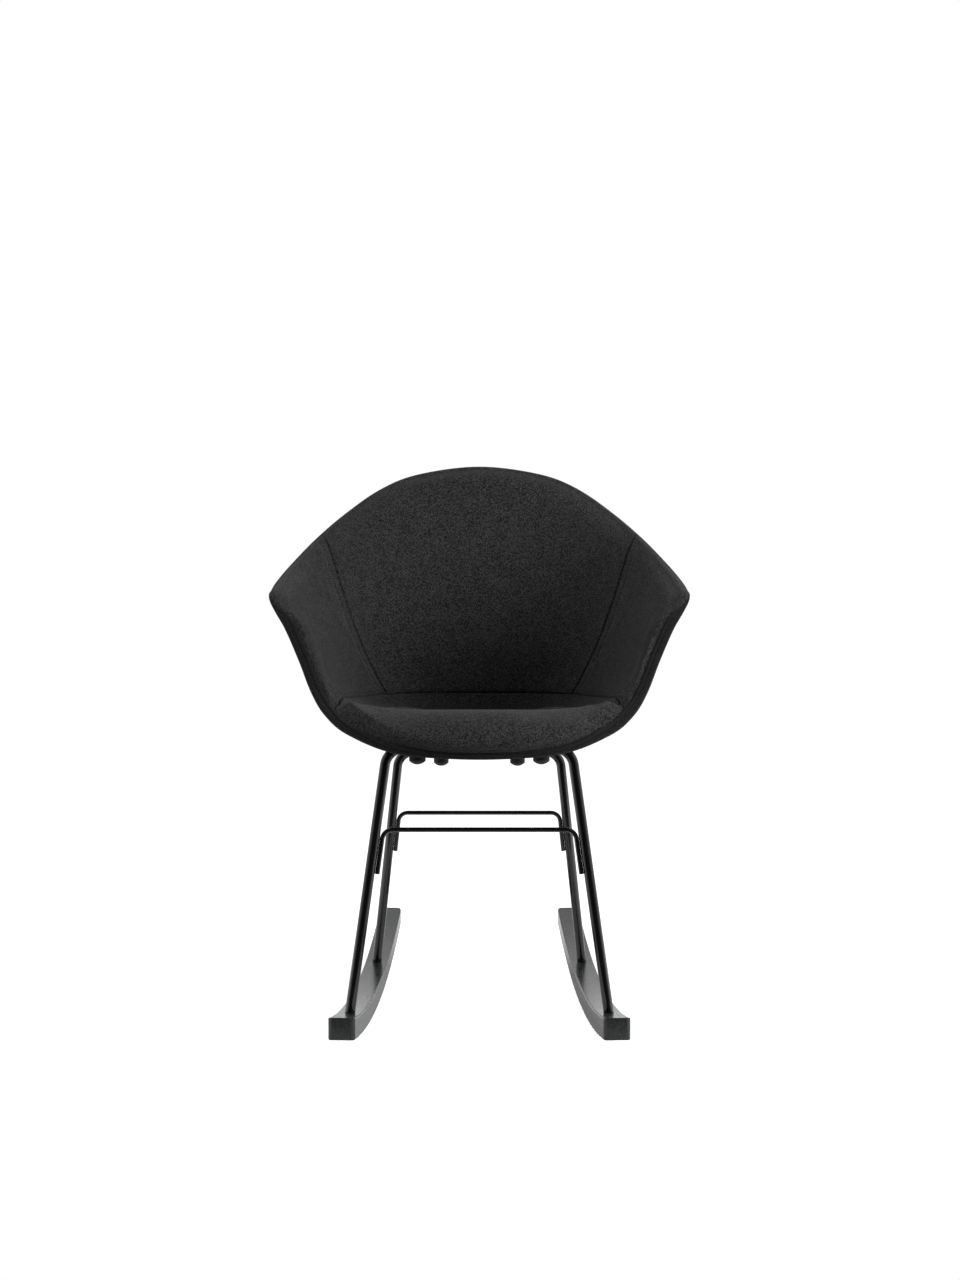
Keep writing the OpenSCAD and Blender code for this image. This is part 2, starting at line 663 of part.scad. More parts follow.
// Countersunk screws from the running edge up into the plugs.
function under_foot(fr) =
    fr[3].z - rocker_r + sqrt(pow(rocker_r, 2) - pow((fr[3].y - contact_y) / cos(rocker_toe), 2));
function head_drop(fr) = under_foot(fr) - screw_sink;
head_cone = (screw_head_d - screw_d) / 2;
module screw_hole(fr) {
    translate([0, 0, -head_drop(fr)])
        cylinder(d = screw_d + hole_clear, h = head_drop(fr) + 1);
    translate([0, 0, -head_drop(fr)])
        cylinder(d1 = screw_head_d + hole_clear, d2 = screw_d + hole_clear, h = head_cone);
    translate([0, 0, -head_drop(fr) - 20])
        cylinder(d = screw_head_d + hole_clear, h = 20.001);
}
module rocker_screws() {
    color(zinc_colour) placed()
        for (fr = [front_frame, rear_frame])
            at_feet(fr)
                translate([0, 0, -head_drop(fr)])
                    difference() {
                        union() {
                            cylinder(d1 = screw_head_d, d2 = screw_d, h = head_cone);
                            cylinder(d = screw_d, h = head_drop(fr) + plug_len - 4);
                        }
                        translate([0, 0, -1])
                            cylinder(d = 4, h = 3, $fn = 6);
                    }
}

// Threaded plugs in the ends of the leg tubes.
module leg_plugs() {
    color(zinc_colour) placed()
        for (fr = [front_frame, rear_frame])
            at_feet(fr)
                difference() {
                    cylinder(d = tube_d - 2 * tube_wall - 0.1, h = plug_len);
                    translate([0, 0, -1])
                        cylinder(d = screw_d + 0.1, h = plug_len + 2);
                }
}

// Plastic saddles between the cross tubes and the shell's bosses.
module tube_saddles() {
    color(steel_colour) placed()
        at_bolts()
            difference() {
                translate([0, 0, tube_d / 2 - 3])
                    cylinder(d = boss_d, h = saddle_t + 3);
                rotate([0, 90, 0])
                    cylinder(d = tube_d + 0.2, h = boss_d + 2, center = true);
                cylinder(d = bolt_d + hole_clear, h = 40);
            }
}

// Threaded brass inserts, pressed into the bosses.
module shell_inserts() {
    color([0.72, 0.60, 0.33]) placed()
        at_bolts()
            translate([0, 0, boss_face])
                difference() {
                    cylinder(d = insert_d - 0.1, h = insert_len);
                    translate([0, 0, -1])
                        cylinder(d = bolt_d + 0.1, h = insert_len + 2);
                }
}

// Hexagon bolts from below, through the cross tubes and saddles into the inserts.
bolt_head_d = 11;
bolt_head_h = 4;
washer_t = 1;
module shell_bolts() {
    color(zinc_colour) placed()
        at_bolts() {
            translate([0, 0, -tube_d / 2 - washer_t])
                cylinder(d = bolt_d, h = tube_d / 2 + washer_t + boss_face + insert_len - 1);
            translate([0, 0, -tube_d / 2 - washer_t - bolt_head_h])
                cylinder(d = bolt_head_d, h = bolt_head_h, $fn = 6);
        }
}

// Domed plastic caps over the bolt heads, grooved to sit on the tube.
cap_dome = 5;
module bolt_caps() {
    dome_r = (pow(cap_d / 2, 2) + pow(cap_dome, 2)) / (2 * cap_dome);
    pocket_top = tube_d / 2 + washer_t + bolt_head_h + 0.3;
    color(steel_colour) placed()
        at_bolts()
            difference() {
                intersection() {
                    translate([0, 0, -tube_d / 2 - cap_h + 3])
                        cylinder(d = cap_d, h = cap_h);
                    translate([0, 0, -tube_d / 2 - cap_h + 3 + dome_r])
                        sphere(r = dome_r, $fn = 128);
                }
                rotate([0, 90, 0])
                    cylinder(d = tube_d + 0.2, h = cap_d + 2, center = true);
                translate([0, 0, -pocket_top])
                    cylinder(d = bolt_head_d + 1.5, h = pocket_top);
            }
}

seat_shell();
outer_cover();
seat_pad();
centre_back_pad();
arm_pad_left();
arm_pad_right();
edge_binding();
front_leg_frame();
rear_leg_frame();
front_stretcher();
rear_stretcher();
rocker_left();
rocker_right();
tube_saddles();
shell_inserts();
shell_bolts();
bolt_caps();
leg_plugs();
rocker_screws();
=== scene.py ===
# %% [markdown]
# # An upholstered rocking chair
# A padded tub stands on two bent steel leg frames, and these on a pair of curved wooden
# rockers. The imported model's steel, wood and plastic pieces stay as they are and get their
# finishes here. The soft pieces are sewn again from finer cloth, in the same places.

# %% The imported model
import math
from collections import namedtuple

import bpy
import numpy as np
from numpy.linalg import norm
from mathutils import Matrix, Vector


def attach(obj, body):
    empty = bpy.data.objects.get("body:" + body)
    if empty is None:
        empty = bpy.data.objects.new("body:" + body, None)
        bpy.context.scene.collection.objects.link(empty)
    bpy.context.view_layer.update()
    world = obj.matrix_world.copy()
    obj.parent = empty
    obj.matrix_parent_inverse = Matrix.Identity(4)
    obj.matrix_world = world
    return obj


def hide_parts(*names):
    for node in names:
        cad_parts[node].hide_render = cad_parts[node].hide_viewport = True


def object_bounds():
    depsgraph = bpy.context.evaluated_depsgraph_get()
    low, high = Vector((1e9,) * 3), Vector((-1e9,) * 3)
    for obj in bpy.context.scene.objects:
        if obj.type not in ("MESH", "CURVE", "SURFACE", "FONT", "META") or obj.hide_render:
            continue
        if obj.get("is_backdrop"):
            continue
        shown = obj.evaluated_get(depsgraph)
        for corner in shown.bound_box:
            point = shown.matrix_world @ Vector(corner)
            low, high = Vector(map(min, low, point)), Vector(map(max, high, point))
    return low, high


join = np.concatenate
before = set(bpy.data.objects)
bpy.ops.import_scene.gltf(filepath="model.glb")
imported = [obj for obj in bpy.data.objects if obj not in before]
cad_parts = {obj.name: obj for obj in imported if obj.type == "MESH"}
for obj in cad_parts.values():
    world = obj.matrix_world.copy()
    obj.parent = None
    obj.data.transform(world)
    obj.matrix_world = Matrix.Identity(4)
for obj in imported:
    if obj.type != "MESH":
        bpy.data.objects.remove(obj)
solid_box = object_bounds()
scene = bpy.context.scene
print("pieces in the model:", len(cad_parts))

# %% [markdown]
# ## The camera
# The photograph was taken at arm height, a little over two metres away, with the lens
# tipped down by less than two degrees. The long side of the picture takes the sensor's
# 36 mm, so the lens length sets the upright field of view.

# %% The camera
lens = bpy.data.cameras.new("camera")
lens.lens = 44.3
lens.sensor_width = 36
lens.shift_x = 0.0005
camera = bpy.data.objects.new("camera", lens)
camera.location = (0, -2.3164, 0.6125)
camera.rotation_euler = (math.radians(90 - 1.818), 0, 0)
scene.collection.objects.link(camera)
scene.camera = camera
print("camera at", tuple(round(v, 3) for v in camera.location))

# %% [markdown]
# ## Shader parts
# A finish is built from nodes. This helper adds one node to a tree, sets its options and
# fills its sockets, either with a value or with a link from another node.

# %% A helper for nodes
def add(tree, kind, sockets=None, **options):
    made = tree.nodes.new("ShaderNode" + kind)
    for key, value in options.items():
        setattr(made, key, value)
    for key, value in (sockets or {}).items():
        if isinstance(value, bpy.types.NodeSocket):
            tree.links.new(value, made.inputs[key])
        else:
            made.inputs[key].default_value = value
    return made


def new_group(name, takes, gives):
    group = bpy.data.node_groups.new(name, "ShaderNodeTree")
    for label, kind, value in takes:
        socket = group.interface.new_socket(label, in_out="INPUT", socket_type="NodeSocket" + kind)
        if value is not None:
            socket.default_value = value
    for label, kind in gives:
        group.interface.new_socket(label, in_out="OUTPUT", socket_type="NodeSocket" + kind)
    start, end = group.nodes.new("NodeGroupInput"), group.nodes.new("NodeGroupOutput")
    return group, start.outputs, end.inputs


# %% [markdown]
# ## Melange weave
# The cloth is a plain weave of mixed grey yarns. Every thread is spun from dark and light
# fibres, so its shade changes along its length and from one thread to the next. The group
# counts the threads both ways, decides at each crossing which of the two lies on top, and
# takes the shade and the round of that one. The round also darkens the colour down each
# thread's sides, as painted shade between the threads, and lightens its crown a little, as a
# painted highlight.

# %% Maths on sockets
def noise(tree, vector, scale, detail):
    return add(tree, "TexNoise", {"Vector": vector, "Scale": scale, "Detail": detail}).outputs[0]


def stretched_noise(tree, vector, scale, detail):
    spread = add(tree, "Mapping", {"Vector": vector, "Scale": scale})
    return noise(tree, spread.outputs[0], 1.0, detail)


def ramp(tree, value, low, high, to_low=0.0, to_high=1.0):
    return add(tree, "MapRange", {"Value": value, "From Min": low, "From Max": high,
                                  "To Min": to_low, "To Max": to_high}).outputs[0]


def maths(tree, what, a, b=0.0):
    return add(tree, "Math", {0: a, 1: b}, operation=what).outputs[0]


def times(tree, a, b):
    return maths(tree, "MULTIPLY", a, b)


def inside(tree):
    return add(tree, "TexCoord").outputs["Object"]


def either(tree, which, a, b):
    return add(tree, "Mix", {0: which, 2: a, 3: b}).outputs[0]


def blend(tree, share, a, b):
    return add(tree, "Mix", {0: share, 6: a, 7: b}, data_type="RGBA").outputs[2]


def dome(tree, value, steep):
    return maths(tree, "SUBTRACT", 1.0, times(tree, times(tree, value, value), steep))


# %% The weave group
weave, start, end = new_group("melange weave", [
    ("Vector", "Vector", None), ("Ground", "Color", (0.01, 0.01, 0.01, 1)),
    ("Yarn", "Color", (0.06, 0.06, 0.06, 1)), ("Streaks", "Float", 1.0),
    ("Threads per metre", "Float", 740.0)],
    [("Colour", "Color"), ("Height", "Float")])
apart = add(weave, "SeparateXYZ", {"Vector": start["Vector"]})
counted = [times(weave, apart.outputs[k], start["Threads per metre"]) for k in (0, 1)]
number = [maths(weave, "FLOOR", c) for c in counted]
part = [maths(weave, "SUBTRACT", maths(weave, "FRACT", c), 0.5) for c in counted]
half = times(weave, maths(weave, "ADD", number[0], number[1]), 0.5)
weft_on_top = times(weave, maths(weave, "FRACT", half), 2.0)
across = either(weave, weft_on_top, *part)
along = either(weave, weft_on_top, part[1], part[0])
height = times(weave, dome(weave, across, 3.6), dome(weave, along, 2.0))

shades = []
for k, (low, high) in enumerate(((0.0, 1.0), (0.12, 0.72))):
    own = times(weave, number[k], 7.31)
    slow = times(weave, counted[1 - k], 0.4)
    spot = add(weave, "CombineXYZ", {"X": own, "Y": slow, "Z": 3.7 * k})
    shades.append(ramp(weave, noise(weave, spot.outputs[0], 1.0, 1.5), 0.4, 0.62, low, high))
cloud = stretched_noise(weave, start["Vector"], (45, 30, 1), 2)
shade = times(weave, either(weave, weft_on_top, *shades), start["Streaks"])
shade = maths(weave, "ADD", shade, ramp(weave, cloud, 0.3, 0.7, -0.05, 0.05))
# Painted shade and highlight: darker where a thread dips, a little lighter on its crown.
shade = times(weave, shade, ramp(weave, height, 0.0, 1.0, 0.45, 1.1))
weave.links.new(blend(weave, shade, start["Ground"], start["Yarn"]), end["Colour"])
weave.links.new(height, end["Height"])
print("melange weave:", len(weave.nodes), "nodes")

# %% [markdown]
# ## Wood grain
# The rockers are ash under a dark grey stain. Long fibres run nearly along the rocker,
# at a slight slant, and open pores show as short dark dashes along them.

# %% The grain group
grain, start, end = new_group("stained grain", [
    ("Vector", "Vector", None), ("Dark", "Color", (0.02, 0.022, 0.02, 1)),
    ("Light", "Color", (0.07, 0.075, 0.07, 1)), ("Slant", "Float", 0.12)],
    [("Colour", "Color"), ("Height", "Float"), ("Pores", "Float")])
wood = start["Vector"]
for axis in ("X_AXIS", "Z_AXIS"):
    wood = add(grain, "VectorRotate", {"Vector": wood, "Angle": start["Slant"]},
               rotation_type=axis).outputs[0]
fibre = stretched_noise(grain, wood, (420, 14, 420), 4)
band = stretched_noise(grain, wood, (120, 5, 120), 2)
pore = stretched_noise(grain, wood, (1500, 90, 1500), 1)
pits = ramp(grain, pore, 0.64, 0.7)
tone = maths(grain, "ADD", ramp(grain, fibre, 0.35, 0.68, 0, 0.7),
             ramp(grain, band, 0.35, 0.65, 0, 0.4))
stain = blend(grain, tone, start["Dark"], start["Light"])
pitted = blend(grain, times(grain, pits, 0.6), stain, start["Dark"])
grain.links.new(pitted, end["Colour"])
grain.links.new(maths(grain, "SUBTRACT", fibre, pits), end["Height"])
grain.links.new(pits, end["Pores"])
print("stained grain:", len(grain.nodes), "nodes")

# %% [markdown]
# ## Edge wear and mottling
# Handling polishes the edges of wood and paint first. A Bevel node gives the normal of a
# rounded edge, and where that differs from the true normal there is an edge. Mottling is
# the fine orange peel of a powder coat or a moulded face.

# %% The wear and mottling groups
wear, start, end = new_group("edge wear", [
    ("Width", "Float", 0.002), ("Patches", "Float", 60.0)], [("Mask", "Float")])
rounded = add(wear, "Bevel", {"Radius": start["Width"]}, samples=6)
true = add(wear, "NewGeometry")
same = add(wear, "VectorMath", {0: rounded.outputs[0], 1: true.outputs["Normal"]},
           operation="DOT_PRODUCT")
patchy = noise(wear, inside(wear), start["Patches"], 3.0)
edge = ramp(wear, same.outputs["Value"], 0.985, 0.8)
wear.links.new(times(wear, edge, ramp(wear, patchy, 0.35, 0.65)), end["Mask"])

mottle, start, end = new_group("fine mottling", [
    ("Vector", "Vector", None), ("Per metre", "Float", 900.0), ("Low", "Float", 0.3),
    ("High", "Float", 0.4)], [("Height", "Float"), ("Roughness", "Float")])
haze = noise(mottle, start["Vector"], 35.0, 3.0)
mottle.links.new(noise(mottle, start["Vector"], start["Per metre"], 2.0), end["Height"])
mottle.links.new(ramp(mottle, haze, 0.3, 0.7, start["Low"], start["High"]), end["Roughness"])
print("groups:", sorted(g.name for g in bpy.data.node_groups))

# %% [markdown]
# ## Finishes
# Each finish is one Principled shader. Values that are the same all over sit on its own
# sockets, and the groups feed only what changes over the surface.

# %% Helpers for finishes
def finish(name, **plain):
    made = bpy.data.materials.new(name)
    made.use_nodes = True
    tree = made.node_tree
    shader = tree.nodes["Principled BSDF"]
    for key, value in plain.items():
        shader.inputs[key.replace("_", " ")].default_value = value
    print("finish:", name)
    return made, tree, shader


def place_group(tree, group, **sockets):
    made = tree.nodes.new("ShaderNodeGroup")
    made.node_tree = group
    for key, value in sockets.items():
        key = key.replace("_", " ")
        if isinstance(value, bpy.types.NodeSocket):
            tree.links.new(value, made.inputs[key])
        else:
            made.inputs[key].default_value = value
    return made


def dress(tree, shader, colour, height, depth, strength, rough=None):
    tree.links.new(colour, shader.inputs["Base Color"])
    if rough is not None:
        tree.links.new(rough, shader.inputs["Roughness"])
    bump = add(tree, "Bump", {"Height": height, "Distance": depth, "Strength": strength})
    tree.links.new(bump.outputs[0], shader.inputs["Normal"])


def mottled(tree, shader, colour, per_metre, low, high, depth, strength, height=None):
    peel = place_group(tree, mottle, Vector=inside(tree), Per_metre=per_metre, Low=low, High=high)
    if height is None:
        height = peel.outputs["Height"]
    dress(tree, shader, colour, height, depth, strength, peel.outputs["Roughness"])


def worn_edges(tree, share, colour, bare, **sockets):
    rubbed = place_group(tree, wear, **sockets)
    return blend(tree, times(tree, rubbed.outputs["Mask"], share), colour, bare)


# %% [markdown]
# ### Cloth and thread
# The weave group draws every thread from the UV map, which is in metres, so the threads
# keep their size wherever a pad swells. Tape and sewing thread are finer weaves.

# %% Cloth
def grey(level):
    return (level, level, level, 1)


def cloth_finish(name, ground, yarn, streaks, threads=740.0, rough=0.92):
    made, tree, shader = finish(name, Roughness=rough, Specular_IOR_Level=0.25,
                                Sheen_Weight=0.06, Sheen_Roughness=0.5,
                                Sheen_Tint=(0.75, 0.76, 0.8, 1))
    woven = place_group(tree, weave, Vector=add(tree, "TexCoord").outputs["UV"], Ground=ground,
                        Yarn=yarn, Streaks=streaks, Threads_per_metre=threads)
    dress(tree, shader, woven.outputs["Colour"], woven.outputs["Height"], 0.0003, 0.7)
    return made


pad_cloth = cloth_finish("charcoal melange cloth", grey(0.002), grey(0.064), 1.0)
cover_cloth = cloth_finish("charcoal melange cloth, outside", grey(0.003), grey(0.055), 1.0)
# The tape is charcoal, and its cloth is darker than the pads' as painted shade on its outer roll.
tape_cloth_painted_shade = cloth_finish("charcoal binding tape, darkened as painted shade", grey(0.004), grey(0.024), 0.8, 1300.0)
thread = cloth_finish("grey sewing thread", grey(0.09), grey(0.2), 0.8, 2600.0, 0.7)
dark_thread = cloth_finish("dark sewing thread", grey(0.012), grey(0.04), 0.8, 2600.0, 0.7)
# The needle holes get near-black cloth, as painted shade in the holes.
painted_hole_shade = cloth_finish("needle holes, painted shade", grey(0.002), grey(0.004), 0.8, 1300.0)

# %% [markdown]
# ### Stained ash
# The stain is nearly black, yet the upper faces look grey, since a thin lacquer mirrors
# the white room. The grain shows in the stain and in the pores, which are duller.

# %% Stained ash
ash, tree, shader = finish("dark stained ash", Specular_IOR_Level=0.2, Coat_Weight=0.4,
                           Coat_Roughness=0.2)
fibres = place_group(tree, grain, Vector=inside(tree), Dark=(0.003, 0.0036, 0.0033, 1),
                     Light=(0.021, 0.0248, 0.0231, 1), Slant=0.1)
worn = worn_edges(tree, 0.35, fibres.outputs["Colour"], (0.09, 0.095, 0.09, 1),
                  Width=0.003, Patches=45.0)
dress(tree, shader, worn, fibres.outputs["Height"], 0.0005, 0.7,
      ramp(tree, fibres.outputs["Pores"], 0, 1, 0.27, 0.55))

# %% [markdown]
# ### Powder-coated steel
# The coat is almost black. What shapes the tubes is the room's reflection in it, which a
# fine orange peel breaks up a little.

# %% Powder-coated steel
coat, tree, shader = finish("black powder coat", Specular_IOR_Level=0.4, Coat_Weight=0.3,
                            Coat_Roughness=0.08)
worn = worn_edges(tree, 0.05, (0.003, 0.003, 0.0032, 1), grey(0.03), Width=0.001, Patches=80.0)
mottled(tree, shader, worn, 700.0, 0.13, 0.2, 0.00008, 0.35)

# %% [markdown]
# ### Plastics and bare metals
# Caps and saddles are dull moulded plastic. The fasteners are drawn or turned metal, and
# a stretched noise gives them their fine lines.

# %% Plastics
def plastic_finish(name, colour, low, high, depth):
    made, tree, shader = finish(name, Specular_IOR_Level=0.45)
    light = tuple(min(1, 2.2 * c + 0.02) for c in colour[:3]) + (1,)
    worn = worn_edges(tree, 0.3, colour, light, Width=0.0012, Patches=90.0)
    mottled(tree, shader, worn, 1400.0, low, high, depth, 0.6)
    return made


cap_plastic = plastic_finish("charcoal moulded caps", (0.009, 0.009, 0.0095, 1),
                             0.6, 0.75, 0.0003)
shell_plastic = plastic_finish("grey moulded shell", (0.08, 0.08, 0.085, 1), 0.45, 0.6, 0.0002)

# %% Bare metals
def metal_finish(name, colour, low, high):
    made, tree, shader = finish(name, Metallic=1.0)
    drawn = stretched_noise(tree, inside(tree), (300, 300, 2600), 2)
    dull = tuple(0.8 * c for c in colour[:3]) + (1,)
    mixed = blend(tree, ramp(tree, drawn, 0.3, 0.7), dull, colour)
    mottled(tree, shader, mixed, 1200.0, low, high, 0.00004, 0.5, drawn)
    return made


zinc = metal_finish("zinc-plated steel", (0.62, 0.62, 0.6, 1), 0.28, 0.45)
brass = metal_finish("turned brass", (0.72, 0.56, 0.28, 1), 0.22, 0.38)

# %% [markdown]
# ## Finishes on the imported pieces
# Steel, wood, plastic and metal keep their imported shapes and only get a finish.

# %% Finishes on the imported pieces
for made, names in (
        (coat, ["front_leg_frame", "rear_leg_frame", "front_stretcher", "rear_stretcher"]),
        (ash, ["rocker_left", "rocker_right"]), (cap_plastic, ["tube_saddles", "bolt_caps"]),
        (shell_plastic, ["seat_shell"]), (brass, ["shell_inserts"]),
        (zinc, ["shell_bolts", "leg_plugs", "rocker_screws"])):
    for name in names:
        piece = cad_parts[name]
        if not piece.material_slots:
            piece.data.materials.append(made)
        for held in piece.material_slots:
            held.material = made
    print(made.name, "on", names)

# %% [markdown]
# ## The tub's inner face
# All the upholstery lies on one surface, the shell's inner face. A rim curve runs from the
# middle of the back over an arm tip to the middle of the front lip, and a corner line
# marks where the seat turns up into the walls. A face line runs from the seat's middle
# through a bend and up the wall to the rim. The sizes are the part's own, in millimetres,
# so cloth and solids agree.

# %% Sizes of the tub
back_top_h, back_top_reach = 806, 310
tip_half, tip_h, tip_reach = 281.5, 603, 59
lip_reach, lip_h = 228, 402
seat_half_w, seat_flare, seat_half_d, squareness = 178, 12, 225, 3.4
wall_bend, lip_bend, wall_bow, bow_length = 84, 34, 12, 130
seat_seam_h = 448
shell_t, cover_t, seat_pad_t = 6, 2.5, 22
seam_pad_t, rim_pad_t, soft_gap, bend_gap, seam_gap = 9, 5, 0.8, 0.9, 0.8
corner_draw, seam_bow = 0.6, 0.62
tube_d, saddle_t, boss_h = 14, 4, 8
rocker_w, rocker_corner, rocker_toe = 35.8, 7, math.radians(2.98)
rocker_rear_reach, contact_back = 354.5, 38
front_tube = np.array([-112.0, 398.0])
tilt = math.atan(31 / 260.4)
plane_lift = (tube_d / 2 + saddle_t + boss_h + shell_t) / math.cos(tilt)
bend_start, bend_end = 0.34, 0.6
last, turn = 16, 32

# %% The rim and the corner line
back_edge = [(0, 1, 1), (0.35, 0.984, 0.935), (0.56, 0.93, 0.81), (0.74, 0.824, 0.613),
             (0.868, 0.661, 0.421), (0.96, 0.423, 0.227), (0.993, 0.192, 0.106),
             (1, 0.065, 0.043), (1, 0, 0)]
front_edge = [(0.957, 0.872, 0.9), (0.907, 0.785, 0.79), (0.835, 0.674, 0.582),
              (0.77, 0.558, 0.378), (0.7, 0.436, 0.24), (0.59, 0.279, 0.135),
              (0.36, 0.087, 0.03), (0, 0, 0)]
half_rim = [(tip_half * a, (back_top_reach + tip_reach) * b - tip_reach,
             tip_h + (back_top_h - tip_h) * c) for a, b, c in back_edge]
half_rim += [(tip_half * a, (lip_reach - tip_reach) * b - lip_reach,
              lip_h + (tip_h - lip_h) * c) for a, b, c in front_edge]
stations = np.array(half_rim + [(-x, y, z) for x, y, z in half_rim[-2:0:-1]], float)


def lerp(a, b, f):
    return a + (b - a) * f


def clamp(v):
    return np.clip(v, 0, 1)


def ease(f):
    return clamp(f) ** 2 * (3 - 2 * clamp(f))


def unit(v):
    return v / norm(v, axis=-1, keepdims=True)


def rim(u):
    """The rim as a smooth curve through its stations, which u counts from the back."""
    i = np.floor(u).astype(int)
    f = (u - i)[..., None]
    a, b, c, d = (stations[(i + k) % turn] for k in (-1, 0, 1, 2))
    cubic = 1.5 * (b - c) + (d - a) / 2
    return b + f * ((c - a) / 2 + f * (a - 2.5 * b + 2 * c - d / 2 + f * cubic))


def plane_z(y):
    return front_tube[1] + plane_lift - (y - front_tube[0]) * math.tan(tilt)


def corner(u):
    r = rim(u)
    reach = np.hypot(r[..., 0], r[..., 1])
    c, s = r[..., 0] / reach, r[..., 1] / reach
    wide = seat_half_w - seat_flare * s
    oval = np.abs(c / wide) ** squareness + np.abs(s / seat_half_d) ** squareness
    seat = oval ** (-1 / squareness)
    fall = r[..., 2] - plane_z(r[..., 1])
    room = reach - np.sqrt(np.maximum(36, lip_bend ** 2 - fall ** 2))
    k = (seat + room - np.sqrt((seat - room) ** 2 + 64)) / 2
    return np.stack([k * c, k * s, plane_z(k * s)], -1)


def run_along(line):
    """Length along a line of points, at each of them."""
    return join([[0], np.cumsum(norm(np.diff(line, axis=0), axis=1))])


seat_mid = np.array([0, 0, plane_z(0)])
seat_up = np.array([0, math.sin(tilt), math.cos(tilt)])
print("rim length, mm:", round(float(run_along(rim(np.linspace(0, turn, 2001)))[-1])))

# %% Places on the face
def face(u, s):
    """The face at u round the tub and s, 0 at the seat's middle and 1 at the rim."""
    u, s = np.broadcast_arrays(np.asarray(u, float), np.asarray(s, float))
    k, r = corner(u), rim(u)
    rise = clamp((r[..., 2] - k[..., 2] + 20) / 120)[..., None]
    wall = norm(r - k, axis=-1, keepdims=True)
    run = norm(k - seat_mid, axis=-1, keepdims=True)
    size = lerp(lip_bend, wall_bend, rise)
    bent = np.minimum(size, 0.75 * wall)
    a = k + (seat_mid - k) * np.minimum(size, 0.8 * run) / run
    b = k + (r - k) * bent / wall
    bow = wall_bow * rise * np.minimum(1, (wall - bent) / bow_length)
    s = s[..., None]
    g = (s - bend_start) / (bend_end - bend_start)
    f = (s - bend_end) / (1 - bend_end)
    flat = join([-k[..., :2], np.zeros_like(s)], -1)
    wall_line = lerp(b, r, f) + unit(flat) * bow * 6.75 * f * f * (1 - f)
    bend = lerp(lerp(a, k, g), lerp(k, b, g), g)
    seat_line = lerp(seat_mid, a, s / bend_start)
    return np.where(s < bend_start, seat_line, np.where(s < bend_end, bend, wall_line))


def up_at(u, s):
    """The way padding stands: square to the seat, then to the wall."""
    round_tub, up_wall = face(u + 0.4, 0.85) - face(u - 0.4, 0.85), face(u, 0.98) - face(u, 0.72)
    wall_up = unit(np.cross(round_tub, up_wall))
    return unit(lerp(seat_up, wall_up, ease((np.asarray(s, float)[..., None] - 0.18) / 0.56)))


def lifted(u, s, h):
    u, s, h = np.broadcast_arrays(u, s, h)
    return face(u, s) + up_at(u, s) * h[..., None]


def outward_at(u):
    return unit(face(u, 1.0) - face(u, 0.96))


# %% [markdown]
# ## Where the seams lie
# The seat panel is sewn to the back and the arms at one level, turns out to the rim at
# each front corner, and runs over the front lip as far as the rim. The two seams between
# the back and the arms lean outwards as they rise.

# %% Where the seams lie
seam_turn_u, seam_corner_u, seam_foot_u, seam_end_u = 11, 13, 2.72, 3.93
seam_rise, seam_drift = 8, 0.045
mm_per_s, mm_per_u = 300, 75


def fold(u):
    """u on either side of the chair, from 0 at the back to 16 at the lip."""
    v = np.mod(u, turn)
    return np.where(v <= last, v, turn - v)


def level_s(u):
    """s where the wall stands as high as the seam, found by halving."""
    low, high = np.full(np.shape(u), 0.4), np.ones(np.shape(u))
    for _ in range(14):
        mid = (low + high) / 2
        above = face(u, mid)[..., 2] > seat_seam_h + seam_rise * ease((u - 3.5) / 4.5)
        low, high = np.where(above, low, mid), np.where(above, mid, high)
    return (low + high) / 2


def seam_s(u):
    v = fold(u)
    out = clamp((v - seam_turn_u) / (seam_corner_u - seam_turn_u))
    return lerp(level_s(np.minimum(v, seam_turn_u)) + seam_drift * out, 1, out ** 8)


def under_gap(s):
    return soft_gap + bend_gap * ease((s - 0.26) / 0.1) * ease((1.1 - s) / 0.35)


def seat_lift(u, f):
    edge = lerp(seam_pad_t, rim_pad_t, clamp((seam_s(u) - 0.6) / 0.4))
    drawn = corner_draw * np.exp(-((fold(u) - 12) / 1.7) ** 2) * ease((f - 0.4) / 0.6)
    return lerp(edge, seat_pad_t * (1 - drawn), 1 - f ** 5)


print("the seat's seam at the back, mm up:", face(0, seam_s(np.zeros(1)))[0, 2].round())

# %% [markdown]
# ## Where the tub stands in the chair
# The origin lies under the middle of the chair's length, from the front lip to the rockers'
# rear ends, so the tub moves by half the difference of their reaches.

# %% Where the tub stands in the chair
reach_f = np.arange(0.5, 1.001, 0.01)
at_lip = np.full(len(reach_f), float(last))
front_reach = -lifted(at_lip, reach_f, soft_gap + seat_lift(at_lip, reach_f))[:, 1].min()
rear_reach = (contact_back + (rocker_rear_reach - rocker_corner) * math.cos(rocker_toe)
              + (rocker_w / 2 - rocker_corner) * math.sin(rocker_toe) + rocker_corner)
shift = (front_reach - rear_reach) / 2


def row(points):
    """Millimetres about the seat's middle, to metres in the chair's frame."""
    return (np.asarray(points) + (0, shift, 0)) * 0.001


# %% [markdown]
# ## From points to cloth
# A pad is two sheets over one grid, with a low wall round their border. Coordinates along
# the cloth go in a UV map in metres, for the weave. Where a grid runs all the way round,
# the last faces count on past the full turn, so that the weave doesn't fold back there.

